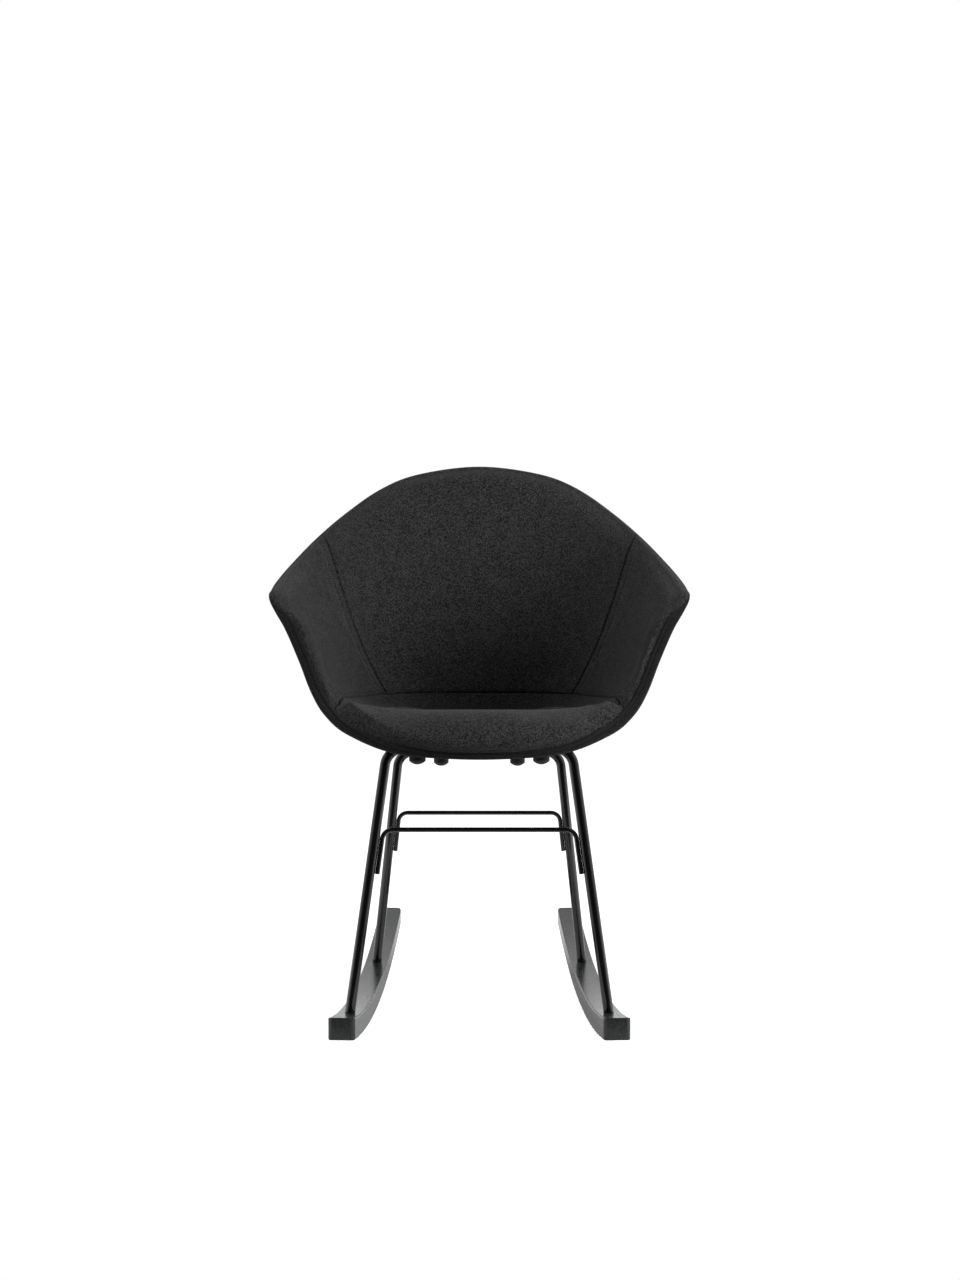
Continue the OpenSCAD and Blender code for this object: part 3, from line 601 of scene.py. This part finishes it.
# %% Making a piece of cloth
def sew(name, points, faces, along, material, wrap=None, in_plan=None):
    """wrap is the length round, and in_plan marks points that lie flat."""
    mesh = bpy.data.meshes.new(name)
    mesh.from_pydata(row(points).tolist(), [], faces)
    mesh.validate()
    corners = np.array([l.vertex_index for l in mesh.loops])
    flat = np.asarray(along)[corners] * 0.001
    if wrap:
        for p in mesh.polygons:
            own = slice(p.loop_start, p.loop_start + p.loop_total)
            if np.ptp(flat[own, 0]) > wrap * 0.0005:
                flat[own, 0] += np.where(flat[own, 0] < wrap * 0.0005, wrap * 0.001, 0)
            if in_plan is not None and in_plan[corners[own]].all():
                flat[own] = points[corners[own], :2] * 0.001
    drawn = mesh.uv_layers.new(name="along the cloth")
    drawn.data.foreach_set("uv", flat.astype(np.float32).ravel())
    mesh.polygons.foreach_set("use_smooth", [True] * len(mesh.polygons))
    mesh.materials.append(material)
    piece = bpy.data.objects.new(name, mesh)
    scene.collection.objects.link(piece)
    return piece


def two_sheets(name, top, bottom, quads, border, along, material, **more):
    """A closed pad from two sheets that meet round a border line."""
    n = len(top)
    faces = [tuple(q) for q in quads] + [tuple(n + i for i in reversed(q)) for q in quads]
    faces += [(a, n + a, n + b, b) for a, b in zip(border, border[1:] + border[:1])]
    both = join([top, bottom])
    return sew(name, both, faces, np.tile(along, (2, 1)), material, **more)


def squares(index):
    corners = index[:-1, :-1], index[1:, :-1], index[1:, 1:], index[:-1, 1:]
    return np.stack(corners, -1).reshape(-1, 4)


rim_us = np.linspace(0, turn, 1281)
around = run_along(face(rim_us, 0.8))


def evenly(count):
    return np.interp(np.arange(count) / count * around[-1], around, rim_us)


def way_out(u, s):
    """Length along the face from the seat's middle out to each place."""
    line = face(u[:, None], s[:, None] * np.linspace(0, 1, 41))
    return norm(np.diff(line, axis=1), axis=2).sum(1)


print("length round the tub, mm:", round(around[-1]))

# %% [markdown]
# ## Padding between seams
# Foam stands full in the middle of a panel and is pulled down where the cloth is sewn.
# Close to a seam the cloth turns down into it within a few millimetres, and a row of
# topstitching presses a shallow groove beside it.

# %% A pad near its seams
turn_down = 3.0
near_seam = (0, 0.6, 1.4, 2.4, 3.6, 4.8, 6.2, 8, 9.8, 11, 12, 13, 14.4)


def sewn(d, least=0.45):
    """Share of the pad's thickness at d mm from its edge."""
    x = clamp(d / turn_down)
    return least + (1 - least) * np.sqrt(np.maximum(0, 1 - (1 - x) ** 2))


def groove(d, place, depth=1.4, half=1.1):
    return -depth * np.exp(-((d - place) / half) ** 2)


def spaced(length, steps, near=near_seam, far=None):
    """Shares of the way along a line of that length, with close rows near its ends."""
    start = np.array(near) / length
    stop = 1 - np.array(near if far is None else far)[::-1] / length
    middle = np.linspace(start[-1], stop[0], steps + 1)[1:-1]
    return join([start, middle, stop])


print("share of the thickness at 0, 1, 2 and 3 mm:", sewn(np.arange(4.0)).round(2))

# %% [markdown]
# ## Padding that pushes
# Foam stretches the cloth over it. The simulation pins each pad along its seams and on its
# underside, blows it up a little, and the cloth finds the shape between the seams. A cap on
# how far any point moves keeps the pad in its place.

# %% Blowing up a pad
held_flat, freed_over, foam_pressure, foam_cap = 9, 35, 4, 0.004


def coordinates(mesh):
    flat = np.zeros(len(mesh.vertices) * 3, np.float32)
    mesh.vertices.foreach_get("co", flat)
    return flat.reshape(-1, 3).astype(float)


def blow_up(piece, to_edge):
    """to_edge is how far each upper point is from the sewn edge, in mm."""
    before = coordinates(piece.data)
    free = ease((to_edge - held_flat) / freed_over)
    freedom = join([free, np.zeros(len(before) - len(free))])
    pins = piece.vertex_groups.new(name="sewn")
    levels = np.round((1 - freedom) * 10).astype(int)
    for level in range(1, 11):
        pins.add(np.nonzero(levels == level)[0].tolist(), level / 10, "REPLACE")
    cloth = piece.modifiers.new("cloth", "CLOTH")
    held = cloth.settings
    held.quality, held.mass = 5, 0.25
    held.tension_stiffness = held.compression_stiffness = 12
    held.bending_stiffness = 1.5
    held.use_pressure, held.uniform_pressure_force = True, foam_pressure
    held.vertex_group_mass = pins.name
    held.effector_weights.gravity = 0
    cloth.collision_settings.use_collision = False
    cloth.point_cache.frame_end = 20
    for step in range(1, 21):
        scene.frame_set(step)
    puffed = piece.evaluated_get(bpy.context.evaluated_depsgraph_get())
    moved = coordinates(puffed.data) - before
    piece.modifiers.remove(cloth)
    scene.frame_set(1)
    far = norm(moved, axis=1, keepdims=True) + 1e-9
    moved *= foam_cap * np.tanh(far / foam_cap) / far
    piece.data.vertices.foreach_set("co", (before + moved).astype(np.float32).ravel())
    piece.data.update()
    print(piece.name, "swells, mm:", (norm(moved, axis=1).max() * 1000).round(1))


def upholster(piece, node):
    smooth = piece.modifiers.new("one subdivision", "SUBSURF")
    smooth.levels = smooth.render_levels = 1
    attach(piece, "root")
    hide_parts(node)


# %% [markdown]
# ## The seat pad
# The seat is one panel from the seams round its back and sides, over a crown, and down the
# front lip. Beside the front of the arms the foam stands a little higher. The grid is a
# square patch in the middle, without a knot of thin triangles, and rings round the patch.

# %% Places along the seat's edge
edge_u = np.linspace(0, turn, 3201)
edge_run = run_along(face(edge_u, seam_s(edge_u)))
columns, patch_s = 208, 0.17
ring_u = np.interp(np.arange(columns) / columns * edge_run[-1], edge_run, edge_u)
ring_edge = seam_s(ring_u) - np.where(fold(ring_u) < seam_corner_u, seam_gap / 2 / mm_per_s, 0)


def round_grid(side):
    """A square patch's shares of the way out and round, its quads, and its border."""
    line = np.linspace(-1, 1, side + 1)
    a, b = np.meshgrid(line, line, indexing="ij")
    out = np.maximum(np.abs(a), np.abs(b))
    safe = np.where(out == 0, 1, out)
    p, q = a / safe, b / safe
    way = np.where(q > 0.999999, np.where(p >= 0, p / 8, 1 + p / 8),
                   np.where(p > 0.999999, 0.25 - q / 8,
                            np.where(q < -0.999999, 0.5 - p / 8, 0.75 + q / 8)))
    index = np.arange((side + 1) ** 2).reshape(side + 1, side + 1)
    h = side // 2
    border = join([index[h:, -1], index[-1, -2::-1], index[-2::-1, 0], index[0, 1:],
                   index[1:h, -1]])
    return out.ravel(), way.ravel(), squares(index).tolist(), border.tolist()


print("seat edge, mm:", round(edge_run[-1]), "in", columns, "steps")

# %% Rings round the patch
def bowl_grid(edge_s, us, ring_steps, near):
    """u, s, distance to the edge and faces for a sheet from the middle out to edge_s."""
    n = len(us)
    out, way, quads, border = round_grid(n // 4)
    spread_u = np.interp(way, np.arange(n + 1) / n, np.append(us, us[0] + turn))
    spread_edge = np.interp(way, np.arange(n + 1) / n, np.append(edge_s, edge_s[0]))
    fine = np.linspace(0, 1, 121)
    line = face(us[None, :], lerp(patch_s, edge_s[None, :], fine[:, None]))
    steps = norm(np.diff(line, axis=0), axis=2)
    run = join([np.zeros((1, n)), np.cumsum(steps, axis=0)])
    shares = 1 - spaced(run[-1].mean(), ring_steps, near, far=(0,))[::-1]
    rows_s, rows_d = [], []
    for share in shares[1:]:
        back = (1 - share) * run[-1].mean()
        far = np.where(back < 12, run[-1] - back, run[-1] * share)
        f = np.array([np.interp(far[c], run[:, c], fine) for c in range(n)])
        rows_s.append(lerp(patch_s, edge_s, f))
        rows_d.append(run[-1] - far)
    base = len(out)
    rings = [border] + [list(range(base + r * n, base + (r + 1) * n)) for r in range(len(rows_s))]
    for inner, outer in zip(rings, rings[1:]):
        quads += [(inner[c], inner[(c + 1) % n], outer[(c + 1) % n], outer[c]) for c in range(n)]
    u = join([spread_u] + [us] * len(rows_s))
    s = join([out * patch_s] + rows_s)
    e = join([spread_edge] + [edge_s] * len(rows_s))
    d = join([np.full(base, 99.0)] + rows_d)
    return u, s, e, d, quads, rings


def unrolled(points, u, rings):
    """Coordinates of a sheet laid flat from the patch outwards, along its lines of points."""
    flat = points[:, :2].copy()
    way = unit(corner(u)[:, :2])
    for inner, outer in zip(rings, rings[1:]):
        step = norm(points[outer] - points[inner], axis=1)
        flat[outer] = flat[inner] + way[outer] * step[:, None]
    return flat


near_edge = (0, 0.6, 1.4, 2.4, 3.6, 4.8, 6.0, 7.2, 8.6, 11)
u, s, e, d, quads, rings = bowl_grid(ring_edge, ring_u, 17, near_edge)
print("seat sheet:", len(u), "points")

# %% The seat pad
lip_stitch, foot_stitch, side_stitch, shoulder_h = 2.4, 4.5, 12.0, 10
on_lip = ease((fold(u) - seam_corner_u + 0.4) / 0.8)
shoulder = np.exp(-((fold(u) - 12.8) / 1.6) ** 2)
shoulder = shoulder * ease((s / e - 0.2) / 0.3) * ease((1 - s / e) / 0.45)
full = seat_lift(u, s / e) + shoulder_h * shoulder
lift = full * lerp(1, 0.92, ease((d - 12) / 60)) * sewn(d)
lift = lift + groove(d, lip_stitch, 0.6, 0.8) * on_lip
top, bottom = lifted(u, s, soft_gap + lift), lifted(u, s, under_gap(s))
seat = two_sheets("seat_pad_cloth", top, bottom, quads, rings[-1][::-1],
                  unrolled(top, u, rings), pad_cloth)
blow_up(seat, d)
upholster(seat, "seat_pad")
last_rings = top[-len(near_edge) * columns:].reshape(-1, columns, 3)[::-1]
print("seat pad thickness, mm:", round(float(lift.max()), 1))

# %% [markdown]
# ## Over the rim
# Above the arm tips the cloth of the back and the arms rolls over the rim and is closed on
# the outside, so no tape shows there from the front. Below the tips the roll runs out, and
# the tape comes round in its place. The roll is a half ellipse about the rim.

# %% The roll over the rim
roll_wide, roll_high, roll_out = 6.0, 7.55, 0.9
roll_full, roll_least = math.radians(125), math.radians(4)
arc_angle = np.linspace(0, math.pi, 181)
arc_steps = np.hypot(np.diff(roll_high * np.cos(arc_angle)),
                     np.diff(roll_wide * np.sin(arc_angle)))
arc_run = join([[0], np.cumsum(arc_steps)])


def roll_angle(u):
    """How far round the rim the cloth goes at u."""
    return lerp(roll_full, roll_least, ease((fold(u) - 8.2) / 1.7))


def round_rim(u, angle, deep=0.0):
    """Points round the rim, from the pad's side outwards, at a depth under the roll."""
    normal = up_at(u, np.ones(np.shape(u)))
    middle = rim(u) + normal * (soft_gap + rim_pad_t - roll_high)
    up = (roll_high - deep) * np.cos(angle)
    out = (roll_wide - deep) * np.sin(angle) + roll_out * np.minimum(1, np.abs(angle))
    return middle + normal * up[..., None] + outward_at(u) * out[..., None]


print("the roll takes", np.interp(roll_full, arc_angle, arc_run).round(1), "mm of cloth")

# %% [markdown]
# ## The back and arm pads
# A wall pad has four sides: the seat's seam below, the end of its roll above, and a seam or
# a point at each end. Its grid runs from side to side and from the seam up.

# %% A wall pad's grid
Places = namedtuple("Places", "c u s side foot head beyond")
near_head = (0, 0.6, 1.4, 2.4, 3.6, 5, 6.5, 8, 10, 12, 14, 16.5, 20, 25)


def wall_grid(low, high, bow, col_steps, row_steps, two_seams):
    """Shares across, u, s, and mm from the side, the foot, the head and past the rim."""
    def at(c, f):
        lo, hi = np.interp(c, (0, 1), low), np.interp(c, (0, 1), high)
        uu = lerp(lo, hi, f) + bow(c) * 4 * f * (1 - f)
        return uu, lerp(seam_s(lo) + seam_gap / 2 / mm_per_s, 1, f)

    c_fine, f_fine = np.linspace(0, 1, 401), np.linspace(0, 1, 61)
    line = face(*at(c_fine[:, None], f_fine[None, :]))
    wide = norm(np.diff(line, axis=0), axis=2).sum(0)
    tall = norm(np.diff(line, axis=1), axis=2).sum(1)
    over = np.interp(roll_angle(np.interp(c_fine, (0, 1), high)), arc_angle, arc_run)
    cs = spaced(wide.mean(), col_steps, far=None if two_seams else (0,))
    if not two_seams:
        cs = np.append(cs[cs < 0.985], [0.985, 0.993, 1.0])
    way = spaced(np.median(tall + over), row_steps, far=near_head)
    c, way = np.meshgrid(cs, way, indexing="ij")
    up, more = np.interp(c, c_fine, tall), np.interp(c, c_fine, over)
    foot = way * (up + more)
    f = np.minimum(1, foot / np.maximum(up, 0.01))
    uu, ss = at(c, f)
    across = np.interp(f, f_fine, wide)
    side = np.minimum(c, 1 - c) * across if two_seams else c * across
    beyond = np.maximum(0, foot - up)
    return Places(c, uu, ss, side, foot, up + more - foot, beyond)


def grid_quads(rows, cols):
    index = np.arange(rows * cols).reshape(rows, cols)
    border = join([index[0, :-1], index[:-1, -1], index[-1, :0:-1], index[:0:-1, 0]])
    return squares(index), border


# %% [markdown]
# ## One wall pad
# The padding thickens from the seams to the middle and thins to the roll at the rim. The
# weave's coordinates are measured on the cloth, so threads keep their size on the bulges.

# %% A wall pad
def wall_pad(name, node, grid, pad_t, ditches, flip):
    c, uu, ss, side, foot, head, beyond = grid
    edge = np.minimum(np.minimum(side, foot), head)
    to_rim = np.maximum(0, head - np.interp(roll_angle(uu), arc_angle, arc_run))
    crowned = lerp(seam_pad_t, pad_t, ease(side / 90) * ease(foot / 90))
    fall = lerp(10, 5, ease((fold(uu) - 8.2) / 1.7))
    at_rim = lerp(rim_pad_t, 11, ease((fold(uu) - 8.4) / 1.7) * ease((12.9 - fold(uu)) / 0.6))
    full = lerp(at_rim, np.maximum(at_rim, crowned), 1 - np.exp(-((to_rim / fall) ** 1.5)))
    lift = full * sewn(edge)
    for distance, place in ditches(side, foot):
        lift = lift + groove(distance, place) * ease((to_rim + 8) / 8)
    angle = np.interp(beyond, arc_run, arc_angle)
    dip = rim_pad_t * (1 - sewn(edge))
    under = np.maximum(lerp(4.8, 2.4, clamp(angle / 0.7)), dip + 0.8)
    rolled = (beyond > 0)[..., None]
    top = np.where(rolled, round_rim(uu, angle, dip), lifted(uu, ss, soft_gap + lift))
    bottom = np.where(rolled, round_rim(uu, angle, under), lifted(uu, ss, under_gap(ss)))
    run = np.cumsum(norm(np.diff(top, axis=0, prepend=top[:1]), axis=2), axis=0)
    rise = np.cumsum(norm(np.diff(top, axis=1, prepend=top[:, :1]), axis=2), axis=1)
    flat = np.stack([run - run[np.argmin(np.abs(c[:, 0] - 0.5))], rise], -1).reshape(-1, 2)
    quads, border = grid_quads(*c.shape)
    if not flip:
        quads, border = quads[:, ::-1], border[::-1]
    piece = two_sheets(name, top.reshape(-1, 3), bottom.reshape(-1, 3), quads.tolist(),
                       border.tolist(), flat, pad_cloth)
    blow_up(piece, edge.ravel())
    upholster(piece, node)
    print(name, "grid:", c.shape)
    return top


# %% The centre back pad
back_full, arm_full, back_foot_stitch = 18, 12, 3.0
half_gap_u = seam_gap / 2 / mm_per_u
foot_u, end_u = seam_foot_u - half_gap_u, seam_end_u - half_gap_u
back_grid = wall_grid((-foot_u, foot_u), (-end_u, end_u), lambda c: (2 * c - 1) * seam_bow,
                      34, 36, True)
back_top = wall_pad("centre_back_cloth", "centre_back_pad", back_grid, back_full,
                    lambda side, foot: [(foot, back_foot_stitch)], False)

# %% The arm pads
point_u = seam_corner_u - 0.03
left = wall_grid((seam_foot_u + half_gap_u, point_u), (seam_end_u + half_gap_u, point_u),
                 lambda c: (1 - c) * seam_bow, 120, 30, False)
right = left._replace(u=turn - left.u)
arm_rows = lambda side, foot: [(side, side_stitch), (foot, foot_stitch)]
left_top = wall_pad("arm_cloth_left", "arm_pad_left", left, arm_full, arm_rows, False)
right_top = wall_pad("arm_cloth_right", "arm_pad_right", right, arm_full, arm_rows, True)

# %% [markdown]
# ## The outer cover
# The outside of the shell wears the same cloth over a thin layer of wadding. It is one
# sheet from the middle of the underside out to the rim.

# %% The outer cover
cover_u = evenly(160)
u, s, e, d, quads, rings = bowl_grid(np.ones(len(cover_u)), cover_u, 26, (0, 1.5, 3, 6))
outer = lifted(u, s, -(shell_t + soft_gap + cover_t * lerp(0.7, 1, ease(d / 8))))
inner = lifted(u, s, np.full(len(u), -(shell_t + soft_gap)))
low = outer[:, 2] - plane_z(outer[:, 1]) < 20
flat = np.stack([np.interp(np.mod(u, turn), rim_us, around), way_out(u, s)], -1)
cover = two_sheets("outer_cover_cloth", outer, inner, [q[::-1] for q in quads], rings[-1],
                   flat, cover_cloth, wrap=around[-1], in_plan=np.tile(low, 2))
upholster(cover, "outer_cover")
print("outer cover:", len(u), "points a side")

# %% [markdown]
# ## The edge binding
# A folded tape closes the edge where the pads, the shell and the cover meet. It has a
# narrow lip against the pads, a sewn ditch beside that, and a full outer roll. Its section
# is drawn about the rim, and squeezed to the outside where a pad's roll takes the rest.

# %% The edge binding
section = np.array([(7.5, -1.2), (7.6, 0.8), (7.2, 2.6), (6.4, 3.7), (5.5, 3.9), (4.7, 3.2),
                    (4.1, 2.6), (3.4, 3.0), (2.2, 4.5), (0.6, 5.6), (-1.4, 6.1), (-3.4, 5.8),
                    (-5.2, 4.8), (-6.6, 3.2), (-7.4, 1.2), (-7.5, -1.2), (-4.0, 0.5), (4.0, 0.5)])
at_angle = np.arctan2(section[:, 1] / roll_wide, section[:, 0] / roll_high)
at_angle = np.mod(at_angle + math.pi / 2, 2 * math.pi) - math.pi / 2
radius = np.hypot(section[:, 1] / roll_wide, section[:, 0] / roll_high)
n, m = 448, len(section)
tape_u = evenly(n)
opens = roll_angle(tape_u)[:, None]
widest = at_angle.max()
squeezed = opens + (at_angle - roll_least) * (widest - opens) / (widest - roll_least)
middle, outward = round_rim(tape_u, np.zeros(n), roll_high), outward_at(tape_u)
normal = up_at(tape_u, np.ones(n))
tape = (middle[:, None] + normal[:, None] * (radius * roll_high * np.cos(squeezed))[..., None]
        + outward[:, None] * (radius * roll_wide * np.sin(squeezed) + roll_out)[..., None])
faces = [(c * m + k, c * m + (k + 1) % m, (c + 1) % n * m + (k + 1) % m, (c + 1) % n * m + k)
         for c in range(n) for k in range(m)]
run = np.interp(tape_u, rim_us, around)[:, None]
flat = np.stack(np.broadcast_arrays(run, np.arange(m) * 2.0), -1).reshape(-1, 2)
# The tape's darker cloth is painted shade on its outer roll.
binding = sew("edge_binding_tape", tape.reshape(-1, 3), faces, flat, tape_cloth_painted_shade,
              wrap=around[-1])
upholster(binding, "edge_binding")
print("binding:", len(faces), "faces")

# %% [markdown]
# ## Topstitching
# The seams between back and arms are topstitched in a grey thread, and the seat's seam and
# the lip in a dark one. Each stitch rises from the cloth at one needle hole and dips into
# the next. They are all modelled, since a bump can't give the shadow that they cast. A
# pad's grid knows how far its points are from the seams, and the rows are read off it.

# %% A row of stitches
pitch, stitch, stitch_rise, stitch_dip, thread_radius = 4.2, 2.9, 0.35, 0.8, 0.5
hole_lift, hole_radius, hole_depth = 0.12, 0.7, 0.5


def stitch_row(name, line, normals, material=thread):
    run = run_along(line)
    count = int(run[-1] / pitch)
    middles = (np.arange(count) + 0.5) * run[-1] / count
    spots = np.arange(-3, 4) / 3
    ring = np.arange(6) * math.pi / 3
    points, faces, along, holes = [], [], [], []
    for middle in middles:
        at = middle + spots * stitch / 2
        path = np.stack([np.interp(at, run, line[:, k]) for k in range(3)], -1)
        up = unit(np.stack([np.interp(middle, run, normals[:, k]) for k in range(3)]))
        ahead = unit(path[-1] - path[0])
        side = np.cross(up, ahead)
        first = len(points)
        for k, spot in enumerate(spots):
            thick = thread_radius * (1 - 0.75 * abs(spot) ** 3)
            centre = path[k] + up * (stitch_rise - stitch_dip * spot * spot)
            for a in ring:
                points.append(centre + thick * (side * math.cos(a) + up * math.sin(a)))
                along.append((middle + spot * stitch / 2, thick * a))
        for k in range(first, first + 36, 6):
            for a in range(6):
                b = (a + 1) % 6
                faces.append((k + a, k + b, k + 6 + b, k + 6 + a))
        faces.append(tuple(first + a for a in range(5, -1, -1)))
        faces.append(tuple(first + 36 + a for a in range(6)))
        spot = path[-1] + ahead * (pitch - stitch) / 2
        for a in ring:
            edge = ahead * math.cos(a) + side * math.sin(a)
            points.append(spot + up * hole_lift + hole_radius * edge)
            along.append((middle, a))
        points.append(spot - up * hole_depth)
        along.append((middle, 0))
        for a in range(6):
            holes.append(len(faces))
            faces.append((first + 42 + a, first + 42 + (a + 1) % 6, first + 48))
    piece = sew(name, np.array(points), faces, np.array(along), material)
    # The holes' faces take the near-black finish, as painted shade.
    piece.data.materials.append(painted_hole_shade)
    for k in holes:
        piece.data.polygons[k].material_index = 1
    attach(piece, "root")
    print(name, count, "stitches")


# %% Lines on a wall pad
side_rows, foot_rows, least_wall = len(near_seam), 8, 14


def place_at(near, tops, wanted):
    """The place at a distance from a seam, among the first points beside it."""
    x = np.interp(wanted, near, np.arange(len(near)))
    return [np.interp(x, np.arange(len(near)), tops[:, k]) for k in range(3)]


def beside_seam(grid, tops, wanted, above):
    """A line beside a pad's side seam, from a height over its foot."""
    rows = [j for j, h in enumerate(grid.foot[0]) if grid.beyond[0, j] == 0 and h > above]
    line = [place_at(grid.side[:side_rows, j], tops[:side_rows, j], wanted) for j in rows]
    return np.array(line), np.array([up_at(grid.u[[3], j], grid.s[[3], j])[0] for j in rows])


def over_foot(grid, tops, wanted, low, high):
    """A line along a pad's foot, between two shares of the way across."""
    cols = [i for i, c in enumerate(grid.c[:, 0])
            if low <= c <= high and grid.foot[i, -1] > least_wall]
    line = [place_at(grid.foot[i, :foot_rows], tops[i, :foot_rows], wanted) for i in cols]
    return np.array(line), np.array([up_at(grid.u[[i], 3], grid.s[[i], 3])[0] for i in cols])


# %% The rows of stitches
for side, grid_of, tops in (("left", left, left_top), ("right", right, right_top)):
    stitch_row("topstitch_back_seam_" + side, *beside_seam(grid_of, tops, side_stitch, 7))
    stitch_row("topstitch_arm_foot_" + side,
               *over_foot(grid_of, tops, foot_stitch, 0.02, 1), dark_thread)
stitch_row("topstitch_back_foot",
           *over_foot(back_grid, back_top, back_foot_stitch, 0.02, 0.98), dark_thread)
on_front = fold(ring_u) > seam_corner_u + 0.25
lip_line = last_rings[near_edge.index(lip_stitch)][on_front]
lip_up = up_at(ring_u[on_front], np.full(on_front.sum(), 0.97))
stitch_row("topstitch_lip", lip_line, lip_up, dark_thread)

# %% [markdown]
# ## The room
# The photograph has a white studio floor without a horizon, and only faint shadows under
# the rockers. Camera rays see a floor with a white of its own, which still darkens a little
# in the shadow. Mirror rays see it darker under the chair, as a painted shadow of the chair
# that steel and wood reflect. The far wall is white too, but the photographer's end of the
# room is dark, and that leaves a black band down the middle of each round leg.

# %% Floor and world
def ray_kinds(tree):
    kinds = add(tree, "LightPath").outputs
    return kinds, maths(tree, "MAXIMUM", kinds["Is Glossy Ray"], kinds["Is Transmission Ray"])


bpy.ops.mesh.primitive_plane_add(size=4.4, location=(0, 1.78, 0))
floor = bpy.context.object
floor.name = "studio_floor"
white, tree, shader = finish("studio white", Base_Color=grey(0.9), Roughness=0.9,
                             Specular_IOR_Level=0.0)
own = add(tree, "Emission", {"Color": grey(1)})
kinds, mirrored = ray_kinds(tree)
place = add(tree, "NewGeometry").outputs["Position"]
away = add(tree, "VectorMath", {0: place}, operation="LENGTH").outputs["Value"]
seen = times(tree, kinds["Is Camera Ray"], ramp(tree, away, 0.5, 1.0, 0.78, 1.0))
# Painted shadow: mirror rays see the floor darker near the chair.
mirrored = times(tree, mirrored, ramp(tree, away, 0.25, 0.9, 0.1, 1.0))
tree.links.new(maths(tree, "ADD", seen, mirrored), own.inputs["Strength"])
both = add(tree, "AddShader", {0: shader.outputs[0], 1: own.outputs[0]})
tree.links.new(both.outputs[0], tree.nodes["Material Output"].inputs["Surface"])
floor.data.materials.append(white)
floor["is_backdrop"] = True

world = bpy.data.worlds.new("studio")
scene.world = world
world.use_nodes = True
tree = world.node_tree
sky = tree.nodes["Background"]
kinds, mirrored = ray_kinds(tree)
way = add(tree, "SeparateXYZ", {"Vector": add(tree, "TexCoord").outputs["Generated"]})
mirrored = times(tree, mirrored, ramp(tree, way.outputs[1], -0.8, -0.25, 0.03, 1.0))
seen = maths(tree, "MAXIMUM", kinds["Is Camera Ray"], mirrored)
diffuse = times(tree, kinds["Is Diffuse Ray"], ramp(tree, way.outputs[2], 0.1, 0.9, 0.06, 0.01))
tree.links.new(maths(tree, "MAXIMUM", seen, diffuse), sky.inputs["Strength"])
sky.inputs["Color"].default_value = grey(1)
print("room:", floor.name, "and", world.name)

# %% [markdown]
# ## The lamps
# Soft lamps at both sides light the inner faces of the arms. They show in no reflection,
# so steel and wood mirror the room alone.

# %% Lamps
softbox_size = 1.6


def lamp(name, place, aim, power):
    light = bpy.data.lights.new(name, "AREA")
    light.shape = "RECTANGLE"
    light.size = light.size_y = softbox_size
    light.energy = power
    made = bpy.data.objects.new(name, light)
    made.location = place
    made.visible_glossy = False
    way = np.array(aim) - np.array(place)
    made.rotation_euler = (math.atan2(math.hypot(way[0], way[1]), -way[2]), 0,
                           math.atan2(way[1], way[0]) - math.pi / 2)
    scene.collection.objects.link(made)


lamp("softbox_right", (2.3, -1.8, 1.1), (-0.2, 0, 0.5), 72)
lamp("softbox_right_high", (2.6, -0.9, 1.6), (-0.2, 0, 0.5), 52)
lamp("softbox_left_high", (-2.3, -0.8, 1.7), (0.1, 0, 0.55), 46)
lamp("front_fill", (0.9, -2.6, 1.6), (0, 0, 0.5), 5)
scene.view_settings.view_transform = "Standard"

# %% [markdown]
# ## The chair's size
# The box of the finished chair is set beside the imported model's box, since cloth may stand
# only a little proud of it. The last line prints how far the box grows.

# %% Sizes and finish
dressed_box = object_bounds()
boxes = {"cad": [list(v) for v in solid_box], "visual": [list(v) for v in dressed_box]}
grown = np.subtract(boxes["visual"], boxes["cad"]) * 1000
print("grows by, mm:", grown.round(1).tolist())
